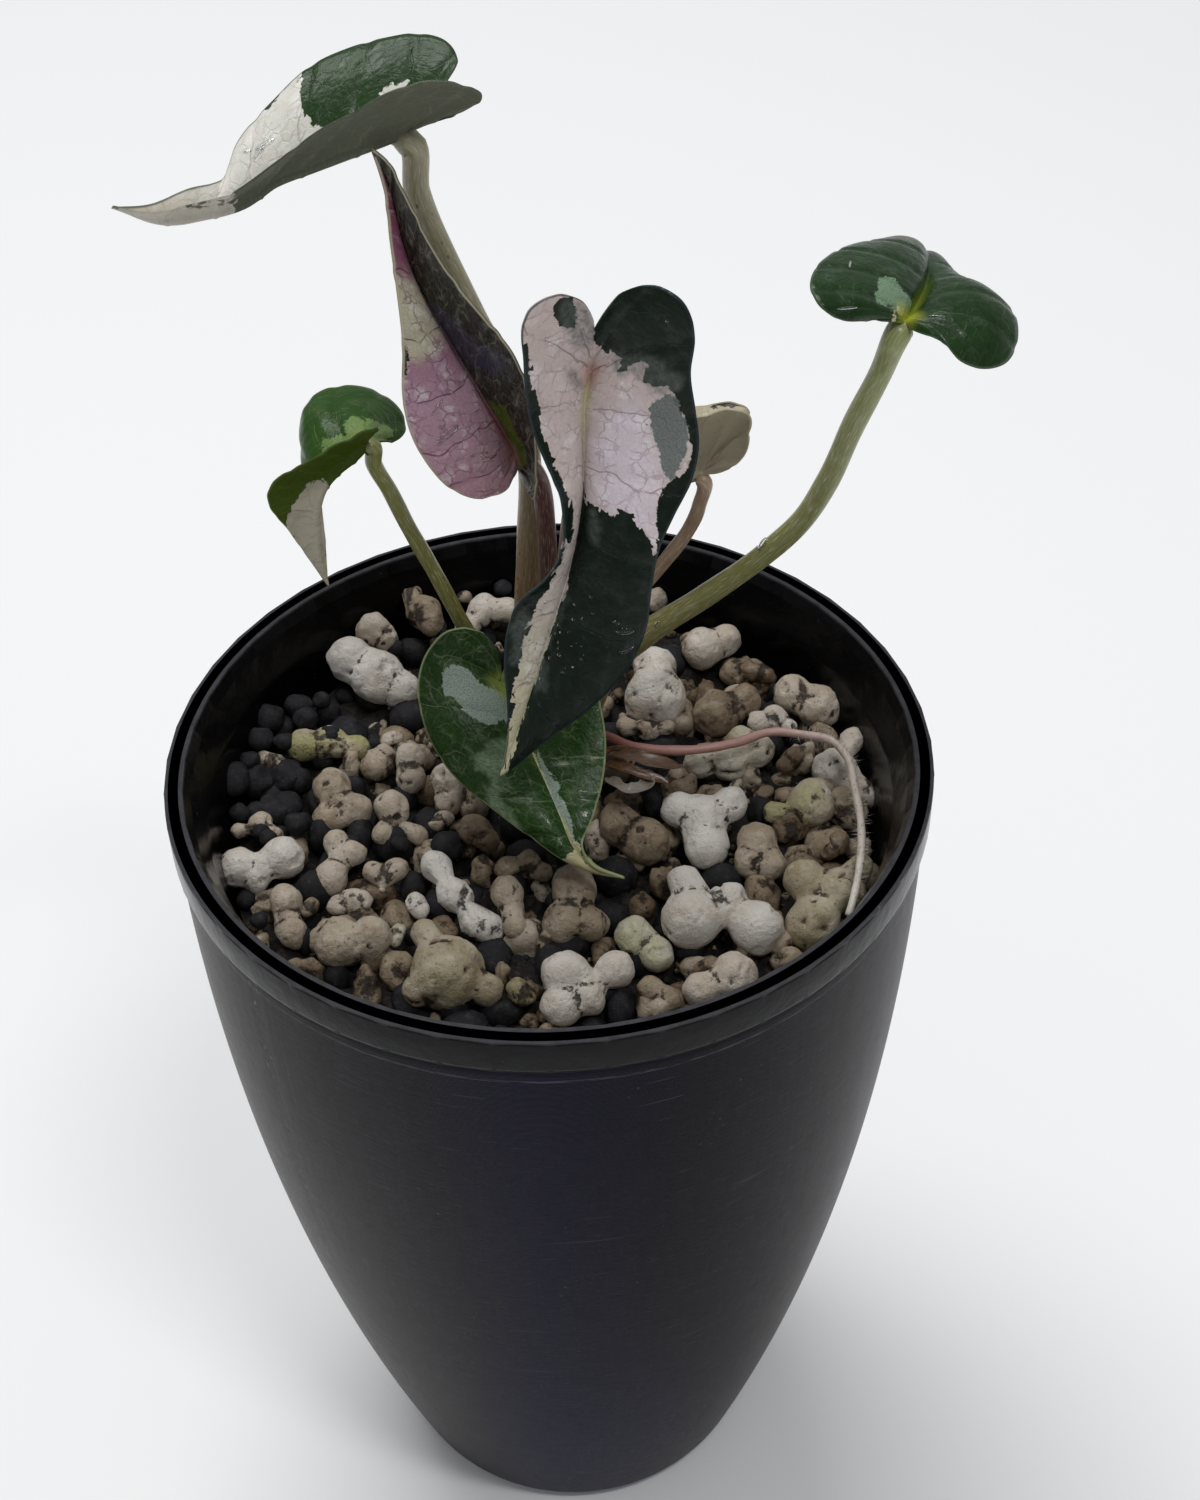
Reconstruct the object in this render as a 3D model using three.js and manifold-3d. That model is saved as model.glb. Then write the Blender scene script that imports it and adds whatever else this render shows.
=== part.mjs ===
// Potted bambino alocasia: a small variegated aroid with seven leaves, growing through pumice stones
// in a black liner pot that hangs by its collar in a taller printed outer pot.
// Millimetres, +Z up. The origin is the centre of the outer pot's flat base, and the front is -Y.
import * as THREE from 'three';
import Module from 'manifold-3d';
import { mergeVertices } from 'three/addons/utils/BufferGeometryUtils.js';

const wasm = await Module();
wasm.setup();

// Driving dimensions of the two pots
const RIM_RADIUS = 45;
const RIM_HEIGHT = 125;
const COLLAR_DEPTH = 4.6;
const COLLAR_WIDTH = 2.1;
const GAP = 0.3;
const POT_TOP_RADIUS = 44.4;
const POT_FOOT_RADIUS = 25.5;
const POT_WALL = 2;
const POT_FLOOR = 2.4;
const FOOT_ROUND = 3;
const LINER_WALL = 1.1;
const LINER_FLOOR_HEIGHT = 40;
const LINER_FLOOR_RADIUS = 31;
const LINER_TOP_RADIUS = 42;
const DRAIN_HOLES = 6;
const DRAIN_RADIUS = 3;
const DRAIN_CIRCLE = 18;
const ROUND_STEPS = 48;

// The planted surface slopes up a little towards the back, and is rounded off below its edge
const BED_HEIGHT = 109;
const BED_SLOPE = 0.12;
const BED_SHOULDER = 12;
const BED_EDGE = 5;

const COLLAR_BOTTOM = RIM_HEIGHT - COLLAR_DEPTH;
const POT_HEIGHT = COLLAR_BOTTOM - GAP;

const CROWN = { x: 0, y: 12, radius: 5.6, top: 116.2 };

const STALK_SIDES = 8;
const STALK_SPACING = 5;
const ROOT_SIDES = 6;
const ROOT_SPACING = 2;

const LEAF_THICKNESS = 0.5;
const LOBE_ROWS = 7;
const BLADE_ROWS = 11;
const BLADE_COLUMNS = 4;

// The plant was measured by eye in one photograph. These are where its camera stood, how many degrees
// it looks down and rolls, its focal length in pixels, and the photograph's middle pixel.
const CAMERA = { at: [6, -192.2, 298.5], down: 42.1, roll: -1.46, focal: 2200, middle: [600, 750] };

// Each leaf has a midrib from the stalk's junction to the tip, and two margins that start at the
// junction, go round the lobe and end at the tip. A point of them is the pixel across and down where it
// shows, and how far behind the pots' axis it lies. left and right are as seen from above with the tip
// ahead. turn says after how many points of each margin the lobe ends, and bulge how far each half
// arches between the midrib and the margin, as a share of its width.
const LEAVES = {
  a: {
    colour: 0x3c5a3e,
    turn: [4, 5],
    bulge: [0.02, 0.08],
    midrib: [
      [403, 133, 14], [363, 147, 13], [313, 166, 12], [274, 181, 11], [240, 203, 10],
      [200, 213, 8.5], [160, 219, 7], [112, 207, 5],
    ],
    left: [
      [403, 133, 14], [432, 122, 13], [466, 110, 12], [482, 96, 10.5], [463, 86, 9.5], [430, 82, 9],
      [388, 95, 8.5], [355, 114, 8], [326, 129, 8], [274, 167, 7], [232, 196, 6.5], [191, 207, 6],
      [150, 214, 5.5], [112, 207, 5],
    ],
    right: [
      [403, 133, 14], [428, 105, 15], [449, 80, 16.5], [458, 62, 18.5], [445, 42, 21], [418, 35, 22],
      [385, 40, 22], [353, 49, 21.5], [313, 67, 20], [277, 100, 18], [240, 142, 15], [224, 178, 12],
      [187, 189, 9], [150, 204, 7], [112, 207, 5],
    ],
  },
  b: {
    colour: 0xb58a9a,
    turn: [4, 4],
    bulge: [0.1, 0.02],
    midrib: [
      [515, 452, 8], [500, 425, 8], [480, 392, 8], [455, 350, 8.5], [430, 308, 9], [407, 258, 9.8],
      [392, 200, 10.5], [371, 150, 11],
    ],
    left: [
      [515, 452, 8], [514, 474, 6.5], [503, 491, 5], [482, 498, 4], [452, 489, 3], [428, 465, 2.5],
      [409, 430, 2.5], [402, 395, 3], [402, 345, 4.5], [396, 290, 6.5], [389, 240, 8],
      [384, 190, 9.5], [371, 150, 11],
    ],
    right: [
      [515, 452, 8], [524, 478, 6.2], [534, 498, 4.5], [538, 468, 3.3], [536, 430, 2.6],
      [528, 390, 2.6], [513, 352, 3], [488, 320, 3.8], [455, 280, 5.2], [425, 232, 6.8],
      [403, 188, 8.5], [387, 160, 10], [371, 150, 11],
    ],
  },
  c: {
    colour: 0xb9a9ac,
    turn: [6, 6],
    bulge: [0.1, 0.06],
    midrib: [
      [597, 372, 2], [588, 420, 0.5], [584, 480, -1.5], [574, 545, -4], [556, 595, -6],
      [532, 640, -8], [518, 697, -10.5], [500, 780, -14],
    ],
    left: [
      [597, 372, 2], [606, 345, 2.5], [617, 310, 2], [634, 291, 1], [656, 286, 0], [681, 299, -1],
      [693, 328, -2], [692, 385, -2.5], [698, 428, -3], [688, 475, -4.5], [668, 530, -6.5],
      [657, 580, -8], [650, 630, -9], [634, 670, -10], [600, 705, -11.3], [555, 740, -12.5],
      [500, 780, -14],
    ],
    right: [
      [597, 372, 2], [594, 345, 2.5], [588, 315, 2], [574, 298, 1], [553, 294, 0],
      [533, 307, -1.5], [524, 335, -2], [526, 372, -2], [540, 432, -1.8], [556, 487, -4],
      [565, 535, -6.5], [556, 577, -8], [524, 605, -8], [509, 645, -9], [504, 700, -11],
      [497, 745, -13], [500, 780, -14],
    ],
  },
  d: {
    colour: 0xb9b08e,
    turn: [6, 4],
    bulge: [0.06, 0.06],
    midrib: [
      [700, 474, 16], [680, 478, 17], [660, 487, 18], [646, 508, 19], [640, 540, 19.5],
      [640, 600, 18],
    ],
    left: [
      [700, 474, 16], [716, 474, 14.5], [732, 467, 13], [744, 454, 12], [748, 434, 11],
      [747, 416, 10.5], [735, 411, 10.5], [712, 415, 11], [688, 422, 12], [655, 436, 13],
      [625, 462, 15], [612, 505, 16.5], [618, 555, 17.5], [640, 600, 18],
    ],
    right: [
      [700, 474, 16], [718, 455, 19], [738, 430, 21], [749, 411, 22], [738, 404, 23], [714, 405, 24],
      [690, 409, 24], [665, 420, 24], [650, 440, 24], [645, 470, 23.5], [648, 505, 22.5],
      [650, 550, 21], [640, 600, 18],
    ],
  },
  e: {
    colour: 0x1f4a26,
    turn: [5, 6],
    bulge: [0.12, 0.2],
    midrib: [
      [904, 323, 8], [916, 306, 12], [926, 284, 17], [930, 264, 22], [926, 250, 28], [916, 262, 33],
      [905, 300, 37],
    ],
    left: [
      [904, 323, 8], [890, 320, 6.5], [862, 320, 4.5], [836, 318, 3], [819, 306, 3], [811, 290, 5],
      [814, 272, 9], [830, 257, 14], [855, 246, 19], [880, 241, 24], [898, 241, 29], [903, 262, 33],
      [905, 300, 37],
    ],
    right: [
      [904, 323, 8], [918, 332, 6], [940, 341, 4.5], [959, 361, 3.5], [982, 369, 4],
      [1003, 364, 5.5], [1014, 348, 8], [1014, 318, 12], [996, 299, 16], [972, 296, 19.5],
      [952, 285, 23.5], [938, 266, 28], [925, 262, 32.5], [905, 300, 37],
    ],
  },
  f: {
    colour: 0x2f6b1f,
    turn: [4, 5],
    bulge: [0.04, 0.1],
    midrib: [
      [365, 443, 6], [350, 458, 5.5], [334, 471, 5], [322, 484, 4.5], [314, 508, 3.8],
      [315, 540, 3.2], [328, 586, 3],
    ],
    left: [
      [365, 443, 6], [373, 435, 4.2], [378, 429, 3], [368, 431, 2], [350, 440, 1.5], [331, 449, 1],
      [308, 464, 0.5], [283, 477, 0], [270, 490, -0.5], [271, 506, -0.3], [290, 530, 1],
      [309, 558, 2], [328, 586, 3],
    ],
    right: [
      [365, 443, 6], [384, 442, 9], [398, 440, 11], [405, 430, 13], [399, 411, 15.5],
      [380, 395, 16.8], [350, 387, 17], [325, 391, 16], [309, 403, 14.3], [302, 428, 12.3],
      [305, 458, 10], [319, 484, 7.5], [323, 515, 5.5], [327, 566, 3.5], [328, 586, 3],
    ],
  },
  g: {
    colour: 0x1f5a1c,
    turn: [5, 5],
    bulge: [0.06, 0.1],
    midrib: [
      [500, 682, 5], [515, 715, 2], [532, 753, -2], [546, 784, -5.5], [560, 816, -9],
      [574, 848, -12], [590, 866, -13.5], [625, 878, -14.5],
    ],
    left: [
      [500, 682, 5], [512, 662, 6], [530, 645, 6.5], [552, 640, 6.5], [574, 648, 6], [591, 668, 5],
      [600, 702, 2], [606, 745, -2], [602, 785, -6], [592, 820, -9.5], [583, 846, -12],
      [590, 862, -13.5], [625, 878, -14.5],
    ],
    right: [
      [500, 682, 5], [492, 662, 5.8], [486, 640, 6.5], [470, 628, 6.5], [448, 630, 6.3],
      [428, 650, 5.5], [418, 690, 3], [424, 722, 0.5], [440, 756, -2], [466, 787, -5],
      [496, 811, -8], [530, 836, -10.5], [562, 858, -12.5], [594, 873, -13.8], [625, 878, -14.5],
    ],
  },
};

// Each stalk rises from the crown and ends just short of its leaf's junction
const PETIOLES = {
  a: {
    colour: 0xa39a78,
    radius: 1.5,
    path: [
      [-2.2, 15, 116.8], [-2.2, 15, 124], [-2.2, 15, 131], [-2, 14.7, 138], [-1.5, 14.5, 147],
      [-1.5, 14.5, 157], [-3, 14, 166.5], [-6, 14, 175], [-9, 14, 183], [-11.3, 14, 190],
      [-12.3, 14.3, 193.8],
    ],
  },
  b: {
    colour: 0x7a4a48,
    radius: 1.3,
    path: [
      [-0.2, 11.6, 116.8], [0.3, 11.6, 125], [0.5, 11.7, 132], [0.5, 11.5, 141], [0.5, 11.2, 150],
      [0, 10.6, 156], [-1.4, 9.6, 159.6],
    ],
  },
  c: {
    colour: 0xb59a90,
    radius: 1.1,
    path: [
      [1.3, 8.2, 116.8], [1.4, 8, 125], [1.6, 8, 135], [2.5, 8, 145.5], [3.5, 7, 154.5],
      [5, 6, 163], [6.4, 5, 169.5], [6.8, 3.9, 173],
    ],
  },
  d: {
    colour: 0xb09c86,
    radius: 1,
    path: [
      [2.2, 15.6, 117], [3, 15.8, 121], [5.5, 16, 127], [9.5, 16.2, 133.5], [14, 16.5, 139.5],
      [17, 16.3, 144.5], [18.2, 15.6, 148.5], [18.6, 15.3, 150.3],
    ],
  },
  e: {
    colour: 0x7f8747,
    radius: 1.55,
    path: [
      [3.7, 11.4, 117], [4.7, 11.7, 122], [7.2, 11.5, 128], [12, 11, 133.5], [18.5, 10.5, 139],
      [25.5, 10, 145.5], [29.5, 9.5, 150.5], [32, 9, 156], [34.5, 8.5, 164], [36.9, 8.2, 170.5],
      [38.2, 7.6, 174.2],
    ],
  },
  f: {
    colour: 0x7b8240,
    radius: 1.05,
    path: [
      [-3.9, 11.4, 116.8], [-4.9, 11.2, 122.5], [-7, 10.5, 128.5], [-10, 10, 137], [-12.5, 9, 145],
      [-15, 8, 152.5], [-16.5, 7.5, 157.5], [-17.8, 6.7, 161.6], [-18.1, 6.4, 162.8],
    ],
  },
  g: {
    colour: 0x6f7d3c,
    radius: 0.9,
    path: [[-2.6, 8.4, 116.8], [-3.8, 7.8, 121.5], [-4.9, 7, 126.5], [-5.3, 6, 130]],
  },
};

// Stones: the pixel where each one's middle shows, half-lengths along its own three axes, turn in
// degrees, and waist, which pinches a stone that is two knobs grown together. lift raises one that lies
// on others.
const STONES = [
  { seen: [374, 670], half: [6, 4.6, 4.6], turn: -20, colour: 0xd8d2c8 },
  { seen: [372, 631], half: [3, 2.7, 2.7], lift: 3, colour: 0xb9b0a2 },
  { seen: [409, 614], half: [3, 3.4, 3.2], lift: 2, colour: 0xa59a88 },
  { seen: [476, 620], half: [3.3, 3.3, 3.3], lift: 0.5, colour: 0xcbc3b6 },
  { seen: [325, 749], half: [5.2, 3, 2.9], colour: 0x9c9568 },
  { seen: [339, 799], half: [3.9, 4.2, 4], colour: 0xa39479 },
  { seen: [390, 770], half: [2.8, 3.6, 3.6], colour: 0xb0a38d },
  { seen: [452, 786], half: [3.4, 3.2, 3.2], colour: 0xb8ab98 },
  { seen: [389, 819], half: [2.8, 3.8, 3.8], colour: 0xa59a86 },
  { seen: [342, 862], half: [3.4, 3.9, 3.6], turn: 60, colour: 0xab9d88 },
  { seen: [261, 866], half: [5.6, 3.4, 3.4], waist: 0.2, turn: 10, colour: 0xd6cec2 },
  { seen: [288, 922], half: [3.2, 3.2, 3], colour: 0xb3a590 },
  { seen: [351, 947], half: [4.8, 3.6, 3.4], colour: 0xa89883 },
  { seen: [460, 897], half: [6.6, 3.2, 4], turn: -48, colour: 0xe0dcd6 },
  { seen: [454, 967], half: [6, 5, 4.6], turn: 15, colour: 0x958c78 },
  { seen: [510, 913], half: [3.2, 4, 4], colour: 0x9d8f7b },
  { seen: [574, 905], half: [4, 4.6, 4.2], colour: 0xb5a48f },
  { seen: [588, 986], half: [5.4, 4.4, 4.4], turn: 20, colour: 0xcabfae },
  { seen: [642, 944], half: [4, 3.2, 3.3], turn: -10, colour: 0xb3ae84 },
  { seen: [721, 913], half: [7.4, 5, 4.9], turn: -28, waist: 0.2, colour: 0xd6cdc0 },
  { seen: [705, 826], half: [5.6, 4.9, 5], turn: 15, colour: 0xdedad2 },
  { seen: [633, 835], half: [4.7, 3.8, 3.9], turn: -10, colour: 0x8c7b64 },
  { seen: [726, 759], half: [6.6, 3, 3], turn: 12, colour: 0xb3a98d },
  { seen: [759, 851], half: [3.4, 3.8, 3.6], colour: 0xa6987c },
  { seen: [815, 815], half: [3.6, 4, 3.6], colour: 0xa79f72 },
  { seen: [828, 908], half: [5.6, 5.3, 4.6], colour: 0xa59a7c },
  { seen: [847, 768], half: [4.4, 4.2, 3], colour: 0xbdb7a8 },
  { seen: [657, 684], half: [4.4, 4.9, 5.2], turn: 20, colour: 0xd3c9ba },
  { seen: [712, 642], half: [4, 4, 4], colour: 0xc6bdb0 },
  { seen: [731, 713], half: [5.1, 3.4, 3.4], turn: 8, colour: 0x8c7d67 },
  { seen: [806, 702], half: [4.4, 3.8, 3.6], colour: 0xab9d85 },
  { seen: [550, 640], half: [5, 4.8, 4.6], colour: 0xb8ab98 },
  { seen: [732, 980], half: [4.8, 3.6, 3.4], turn: 15, colour: 0xcbc3b6 },
  { seen: [382, 890], half: [3.2, 3.4, 3.2], colour: 0xcfc6ba },
];

// Round black beads: place in plan and radius
const BEADS = [
  [-37.4, 9.2, 2.5], [-33.4, 9.9, 2.2], [-34.2, 4.4, 2.2], [-35.2, 18.6, 2.2], [-12.6, -1.7, 2.1],
];

// The root's path: pixels across and down, and height
const AERIAL_ROOT = {
  radius: 0.55,
  path: [
    [603, 735, 117.9], [640, 748, 118.2], [690, 750, 118.2], [735, 743, 118.3], [772, 732, 118.2],
    [805, 735, 118.2], [832, 741, 118.1], [846, 755, 118], [854, 785, 117.8], [861, 825, 117.6],
    [859, 870, 117.6], [853, 900, 117.2], [848, 918, 116],
  ],
};

const DRY_SHEATH = {
  width: 2.4,
  thickness: 0.4,
  path: [[7.6, 7.2, 118], [9.4, 5.6, 118.6], [11.8, 4, 119], [14, 3.6, 118.8], [15.6, 3.8, 118.4]],
};

const MATERIALS = {
  print: new THREE.MeshStandardMaterial({ color: 0x140a24, roughness: 0.35, metalness: 0.1 }),
  plastic: new THREE.MeshStandardMaterial({ color: 0x101113, roughness: 0.25, metalness: 0 }),
  soil: new THREE.MeshStandardMaterial({ color: 0x1c1a18, roughness: 0.95, metalness: 0 }),
  bead: new THREE.MeshStandardMaterial({ color: 0x17181b, roughness: 0.7, metalness: 0 }),
  root: new THREE.MeshStandardMaterial({ color: 0xd6c6bc, roughness: 0.5, metalness: 0 }),
  husk: new THREE.MeshStandardMaterial({ color: 0x4a3524, roughness: 0.5, metalness: 0 }),
  crown: new THREE.MeshStandardMaterial({ color: 0x8a7c58, roughness: 0.6, metalness: 0 }),
};

const plant = new THREE.Group();

function addPart(name, geometry, material) {
  const mesh = new THREE.Mesh(geometry, material);
  mesh.name = name;
  plant.add(mesh);
}

const finish = (colour, roughness) => new THREE.MeshStandardMaterial({ color: colour, roughness });
const vector = (point) => new THREE.Vector3(...point);
const smoothCurve = (points) => new THREE.CatmullRomCurve3(points, false, 'chordal');
const smoothPath = (points) => smoothCurve(points.map(vector));
const bedTop = (y) => BED_HEIGHT + BED_SLOPE * y;

// The direction in which the camera sees a pixel: ahead, and across and up by the pixel's place
function sightLine(across, down) {
  const roll = THREE.MathUtils.degToRad(CAMERA.roll);
  const shift = new THREE.Vector2(across - CAMERA.middle[0], CAMERA.middle[1] - down);
  shift.divideScalar(CAMERA.focal).rotateAround(new THREE.Vector2(), roll);
  const line = new THREE.Vector3(shift.x, shift.y, -1);
  return line.applyAxisAngle(new THREE.Vector3(1, 0, 0), THREE.MathUtils.degToRad(90 - CAMERA.down));
}

const alongSight = (line, reach) => vector(CAMERA.at).addScaledVector(line, reach);

// The point that a pixel shows at a depth behind the axis, to the half millimetre
function seenAtDepth([across, down, depth]) {
  const line = sightLine(across, down);
  const point = alongSight(line, (depth - CAMERA.at[1]) / line.y);
  return point.multiplyScalar(2).round().divideScalar(2);
}

// The point that a pixel shows at a height
function seenAtHeight([across, down, height]) {
  const line = sightLine(across, down);
  return alongSight(line, (height - CAMERA.at[2]) / line.z);
}

// The point that a pixel shows at a height above the sloping bed
function seenAboveBed([across, down], height) {
  const line = sightLine(across, down);
  const drop = bedTop(CAMERA.at[1]) + height - CAMERA.at[2];
  return alongSight(line, drop / (line.z - BED_SLOPE * line.y));
}

// Turns a profile of [radius, height] pairs about the vertical axis
function turned(profile, steps = ROUND_STEPS) {
  const points = profile.map(([radius, height]) => new THREE.Vector2(radius, height));
  return new THREE.LatheGeometry(points, steps).rotateX(Math.PI / 2);
}

// The outer pot's outside is a parabola in section, steep at the rim and rounder towards the foot
function potRadius(height) {
  const drop = 1 - height / POT_HEIGHT;
  return POT_FOOT_RADIUS + (POT_TOP_RADIUS - POT_FOOT_RADIUS) * (1 - drop * drop);
}

function outerPot() {
  const profile = [[0, 0], [POT_FOOT_RADIUS - FOOT_ROUND, 0]];
  for (const angle of [30, 60, 90]) {
    const turn = THREE.MathUtils.degToRad(angle);
    const height = FOOT_ROUND * (1 - Math.cos(turn));
    profile.push([potRadius(height) - FOOT_ROUND * (1 - Math.sin(turn)), height]);
  }
  const heights = [10, 20, 32, 46, 62, 80, 100, POT_HEIGHT];
  heights.forEach((height) => profile.push([potRadius(height), height]));
  const inside = [...heights].reverse().slice(0, -1);
  inside.forEach((height) => profile.push([potRadius(height) - POT_WALL, height]));
  profile.push([potRadius(POT_FLOOR + FOOT_ROUND) - POT_WALL, POT_FLOOR + FOOT_ROUND]);
  profile.push([POT_FOOT_RADIUS - FOOT_ROUND, POT_FLOOR], [0, POT_FLOOR]);
  return turned(profile);
}

// The liner tapers evenly from its collar to its floor
function linerRadius(height) {
  const share = (height - LINER_FLOOR_HEIGHT) / (COLLAR_BOTTOM - LINER_FLOOR_HEIGHT);
  return LINER_FLOOR_RADIUS + (LINER_TOP_RADIUS - LINER_FLOOR_RADIUS) * share;
}

const linerInside = (height) => linerRadius(height) - LINER_WALL;

function asManifold(geometry) {
  const bare = new THREE.BufferGeometry();
  bare.setAttribute('position', geometry.getAttribute('position'));
  if (geometry.index) bare.setIndex(geometry.index);
  const merged = mergeVertices(bare, 1e-4);
  return new wasm.Manifold(new wasm.Mesh({
    numProp: 3,
    vertProperties: new Float32Array(merged.getAttribute('position').array),
    triVerts: new Uint32Array(merged.index.array),
  }));
}

function asGeometry(manifold) {
  const mesh = manifold.getMesh();
  const geometry = new THREE.BufferGeometry();
  geometry.setAttribute('position', new THREE.BufferAttribute(mesh.vertProperties, 3));
  geometry.setIndex(new THREE.BufferAttribute(mesh.triVerts, 1));
  geometry.computeVertexNormals();
  return geometry;
}

function linerPot() {
  const floorTop = LINER_FLOOR_HEIGHT + LINER_WALL;
  const shell = turned([
    [0, LINER_FLOOR_HEIGHT],
    [LINER_FLOOR_RADIUS, LINER_FLOOR_HEIGHT],
    [linerRadius(COLLAR_BOTTOM - GAP), COLLAR_BOTTOM - GAP],
    [linerRadius(COLLAR_BOTTOM), COLLAR_BOTTOM],
    [RIM_RADIUS, COLLAR_BOTTOM],
    [RIM_RADIUS, RIM_HEIGHT],
    [RIM_RADIUS - COLLAR_WIDTH, RIM_HEIGHT],
    [RIM_RADIUS - COLLAR_WIDTH - 0.8, RIM_HEIGHT - 1.6],
    [linerInside(COLLAR_BOTTOM - 1), COLLAR_BOTTOM - 1],
    [linerInside(floorTop), floorTop],
    [0, floorTop],
  ]);
  let pot = asManifold(shell);
  for (let hole = 0; hole < DRAIN_HOLES; hole += 1) {
    const angle = (hole / DRAIN_HOLES) * 2 * Math.PI;
    const drill = new THREE.CylinderGeometry(DRAIN_RADIUS, DRAIN_RADIUS, 4 * LINER_WALL, 12);
    drill.rotateX(Math.PI / 2);
    drill.translate(
      DRAIN_CIRCLE * Math.cos(angle),
      DRAIN_CIRCLE * Math.sin(angle),
      LINER_FLOOR_HEIGHT + LINER_WALL / 2,
    );
    pot = pot.subtract(asManifold(drill));
  }
  return asGeometry(pot);
}

// The bed of fine pumice and grit fills the liner up to a plane that slopes with the surface
function substrateBed() {
  const bottom = LINER_FLOOR_HEIGHT + LINER_WALL + GAP;
  const shoulder = BED_HEIGHT - BED_SHOULDER;
  const geometry = turned([
    [0, bottom],
    [linerInside(bottom) - GAP, bottom],
    [linerInside(shoulder) - GAP, shoulder],
    [linerInside(BED_HEIGHT - BED_EDGE) - GAP, BED_HEIGHT],
    [0, BED_HEIGHT],
  ]);
  const position = geometry.getAttribute('position');
  for (let i = 0; i < position.count; i += 1) {
    if (position.getZ(i) > shoulder + 1) position.setZ(i, bedTop(position.getY(i)));
  }
  return geometry;
}

function crown() {
  const bottom = bedTop(CROWN.y + CROWN.radius) + GAP;
  const steps = [0, 20, 40, 60, 80];
  const dome = steps.map((angle) => {
    const turn = THREE.MathUtils.degToRad(angle);
    return [CROWN.radius * Math.cos(turn), bottom + (CROWN.top - bottom) * Math.sin(turn)];
  });
  return turned([[0, bottom], ...dome, [0, CROWN.top]], 20).translate(CROWN.x, CROWN.y, 0);
}

// A stone is a ball whose radius swells and shrinks with direction, stretched to its half-lengths,
// turned, and flattened where it meets a neighbour, the bed or the pot's wall
function stonePoint(direction, stone, index) {
  const [x, y, z] = direction.toArray();
  const lumps = 0.1 * Math.sin(3.1 * x + 1.7 * index) * Math.cos(2.7 * y + 2.3 * index)
    + 0.07 * Math.sin(4.3 * z + 2.1 * x + 0.9 * index);
  const pinch = (stone.waist ?? 0) * (1 - Math.abs(x) ** 1.5);
  const [a, b, c] = stone.half;
  return new THREE.Vector3(a * x, b * y, c * z).multiplyScalar(1 + lumps - pinch);
}

function stoneCentre(stone) {
  const height = GAP + stone.half[2] + (stone.lift ?? 0);
  if (stone.seen) return seenAboveBed(stone.seen, height);
  const [x, y] = stone.at;
  return new THREE.Vector3(x, y, bedTop(y) + height);
}

// Half the distance to a neighbour, shared by their sizes, is as far as a stone may reach towards it
function pressFlat(point, centre, size, others) {
  for (const other of others) {
    const across = other.centre.clone().sub(centre);
    const distance = across.length();
    across.divideScalar(distance);
    const limit = distance * (size / (size + other.size)) - GAP / 2;
    const reach = point.clone().sub(centre).dot(across);
    if (reach > limit) point.addScaledVector(across, limit - reach);
  }
  const wall = linerInside(BED_HEIGHT) - GAP;
  const fromAxis = Math.hypot(point.x, point.y);
  if (fromAxis > wall) {
    point.x *= wall / fromAxis;
    point.y *= wall / fromAxis;
  }
  point.z = Math.max(point.z, bedTop(point.y) + GAP);
}

function stoneGeometry(stone, index, bodies) {
  const geometry = new THREE.IcosahedronGeometry(1, 1);
  const position = geometry.getAttribute('position');
  const body = bodies[index];
  const others = bodies.filter((other) => other !== body);
  for (let i = 0; i < position.count; i += 1) {
    const direction = new THREE.Vector3().fromBufferAttribute(position, i).normalize();
    const point = stonePoint(direction, stone, index);
    point.applyAxisAngle(new THREE.Vector3(0, 0, 1), THREE.MathUtils.degToRad(stone.turn ?? 0));
    point.add(body.centre);
    pressFlat(point, body.centre, body.size, others);
    position.setXYZ(i, ...point.toArray());
  }
  return geometry;
}

// A leaf is a thin shell. Rows run from the midrib to the margin: those of the lobe all start at the
// junction, and the rest start further and further along the midrib.
function leafGeometry(leaf) {
  const midrib = smoothCurve(leaf.midrib.map(seenAtDepth));
  const rows = LOBE_ROWS + BLADE_ROWS;
  const points = [];
  for (let k = 0; k <= BLADE_ROWS; k += 1) points.push(midrib.getPoint(k / BLADE_ROWS));
  const faces = [];
  [leaf.left, leaf.right].forEach((margin, side) => {
    const edge = smoothCurve(margin.map(seenAtDepth));
    const segments = margin.length - 1;
    const turn = leaf.turn[side] / segments;
    const first = points.length;
    for (let row = 1; row < rows; row += 1) {
      const along = (row - LOBE_ROWS) / BLADE_ROWS;
      const share = along < 0 ? (turn * row) / LOBE_ROWS : turn + (1 - turn) * along;
      const start = midrib.getPoint(Math.max(along, 0));
      const out = edge.getPoint(share).sub(start);
      const up = midrib.getTangent(Math.max(along, 0)).cross(out).normalize();
      const arch = leaf.bulge[side] * out.length() * (side === 0 ? 1 : -1);
      for (let column = 1; column <= BLADE_COLUMNS; column += 1) {
        const j = column / BLADE_COLUMNS;
        const rise = 4 * j * (1 - j) * arch;
        points.push(start.clone().addScaledVector(out, j).addScaledVector(up, rise));
      }
    }
    const vertex = (row, column) => {
      if (row === 0) return 0;
      if (row === rows) return BLADE_ROWS;
      if (column === 0) return Math.max(row - LOBE_ROWS, 0);
      return first + (row - 1) * BLADE_COLUMNS + column - 1;
    };
    for (let row = 0; row < rows; row += 1) {
      for (let column = 0; column < BLADE_COLUMNS; column += 1) {
        const near = [vertex(row, column), vertex(row + 1, column)];
        const far = [vertex(row, column + 1), vertex(row + 1, column + 1)];
        const pair = [[near[0], near[1], far[1]], [near[0], far[1], far[0]]];
        for (const face of pair) {
          if (new Set(face).size === 3) faces.push(side === 0 ? face : face.reverse());
        }
      }
    }
  });
  return thickened(points, faces, LEAF_THICKNESS);
}

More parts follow.
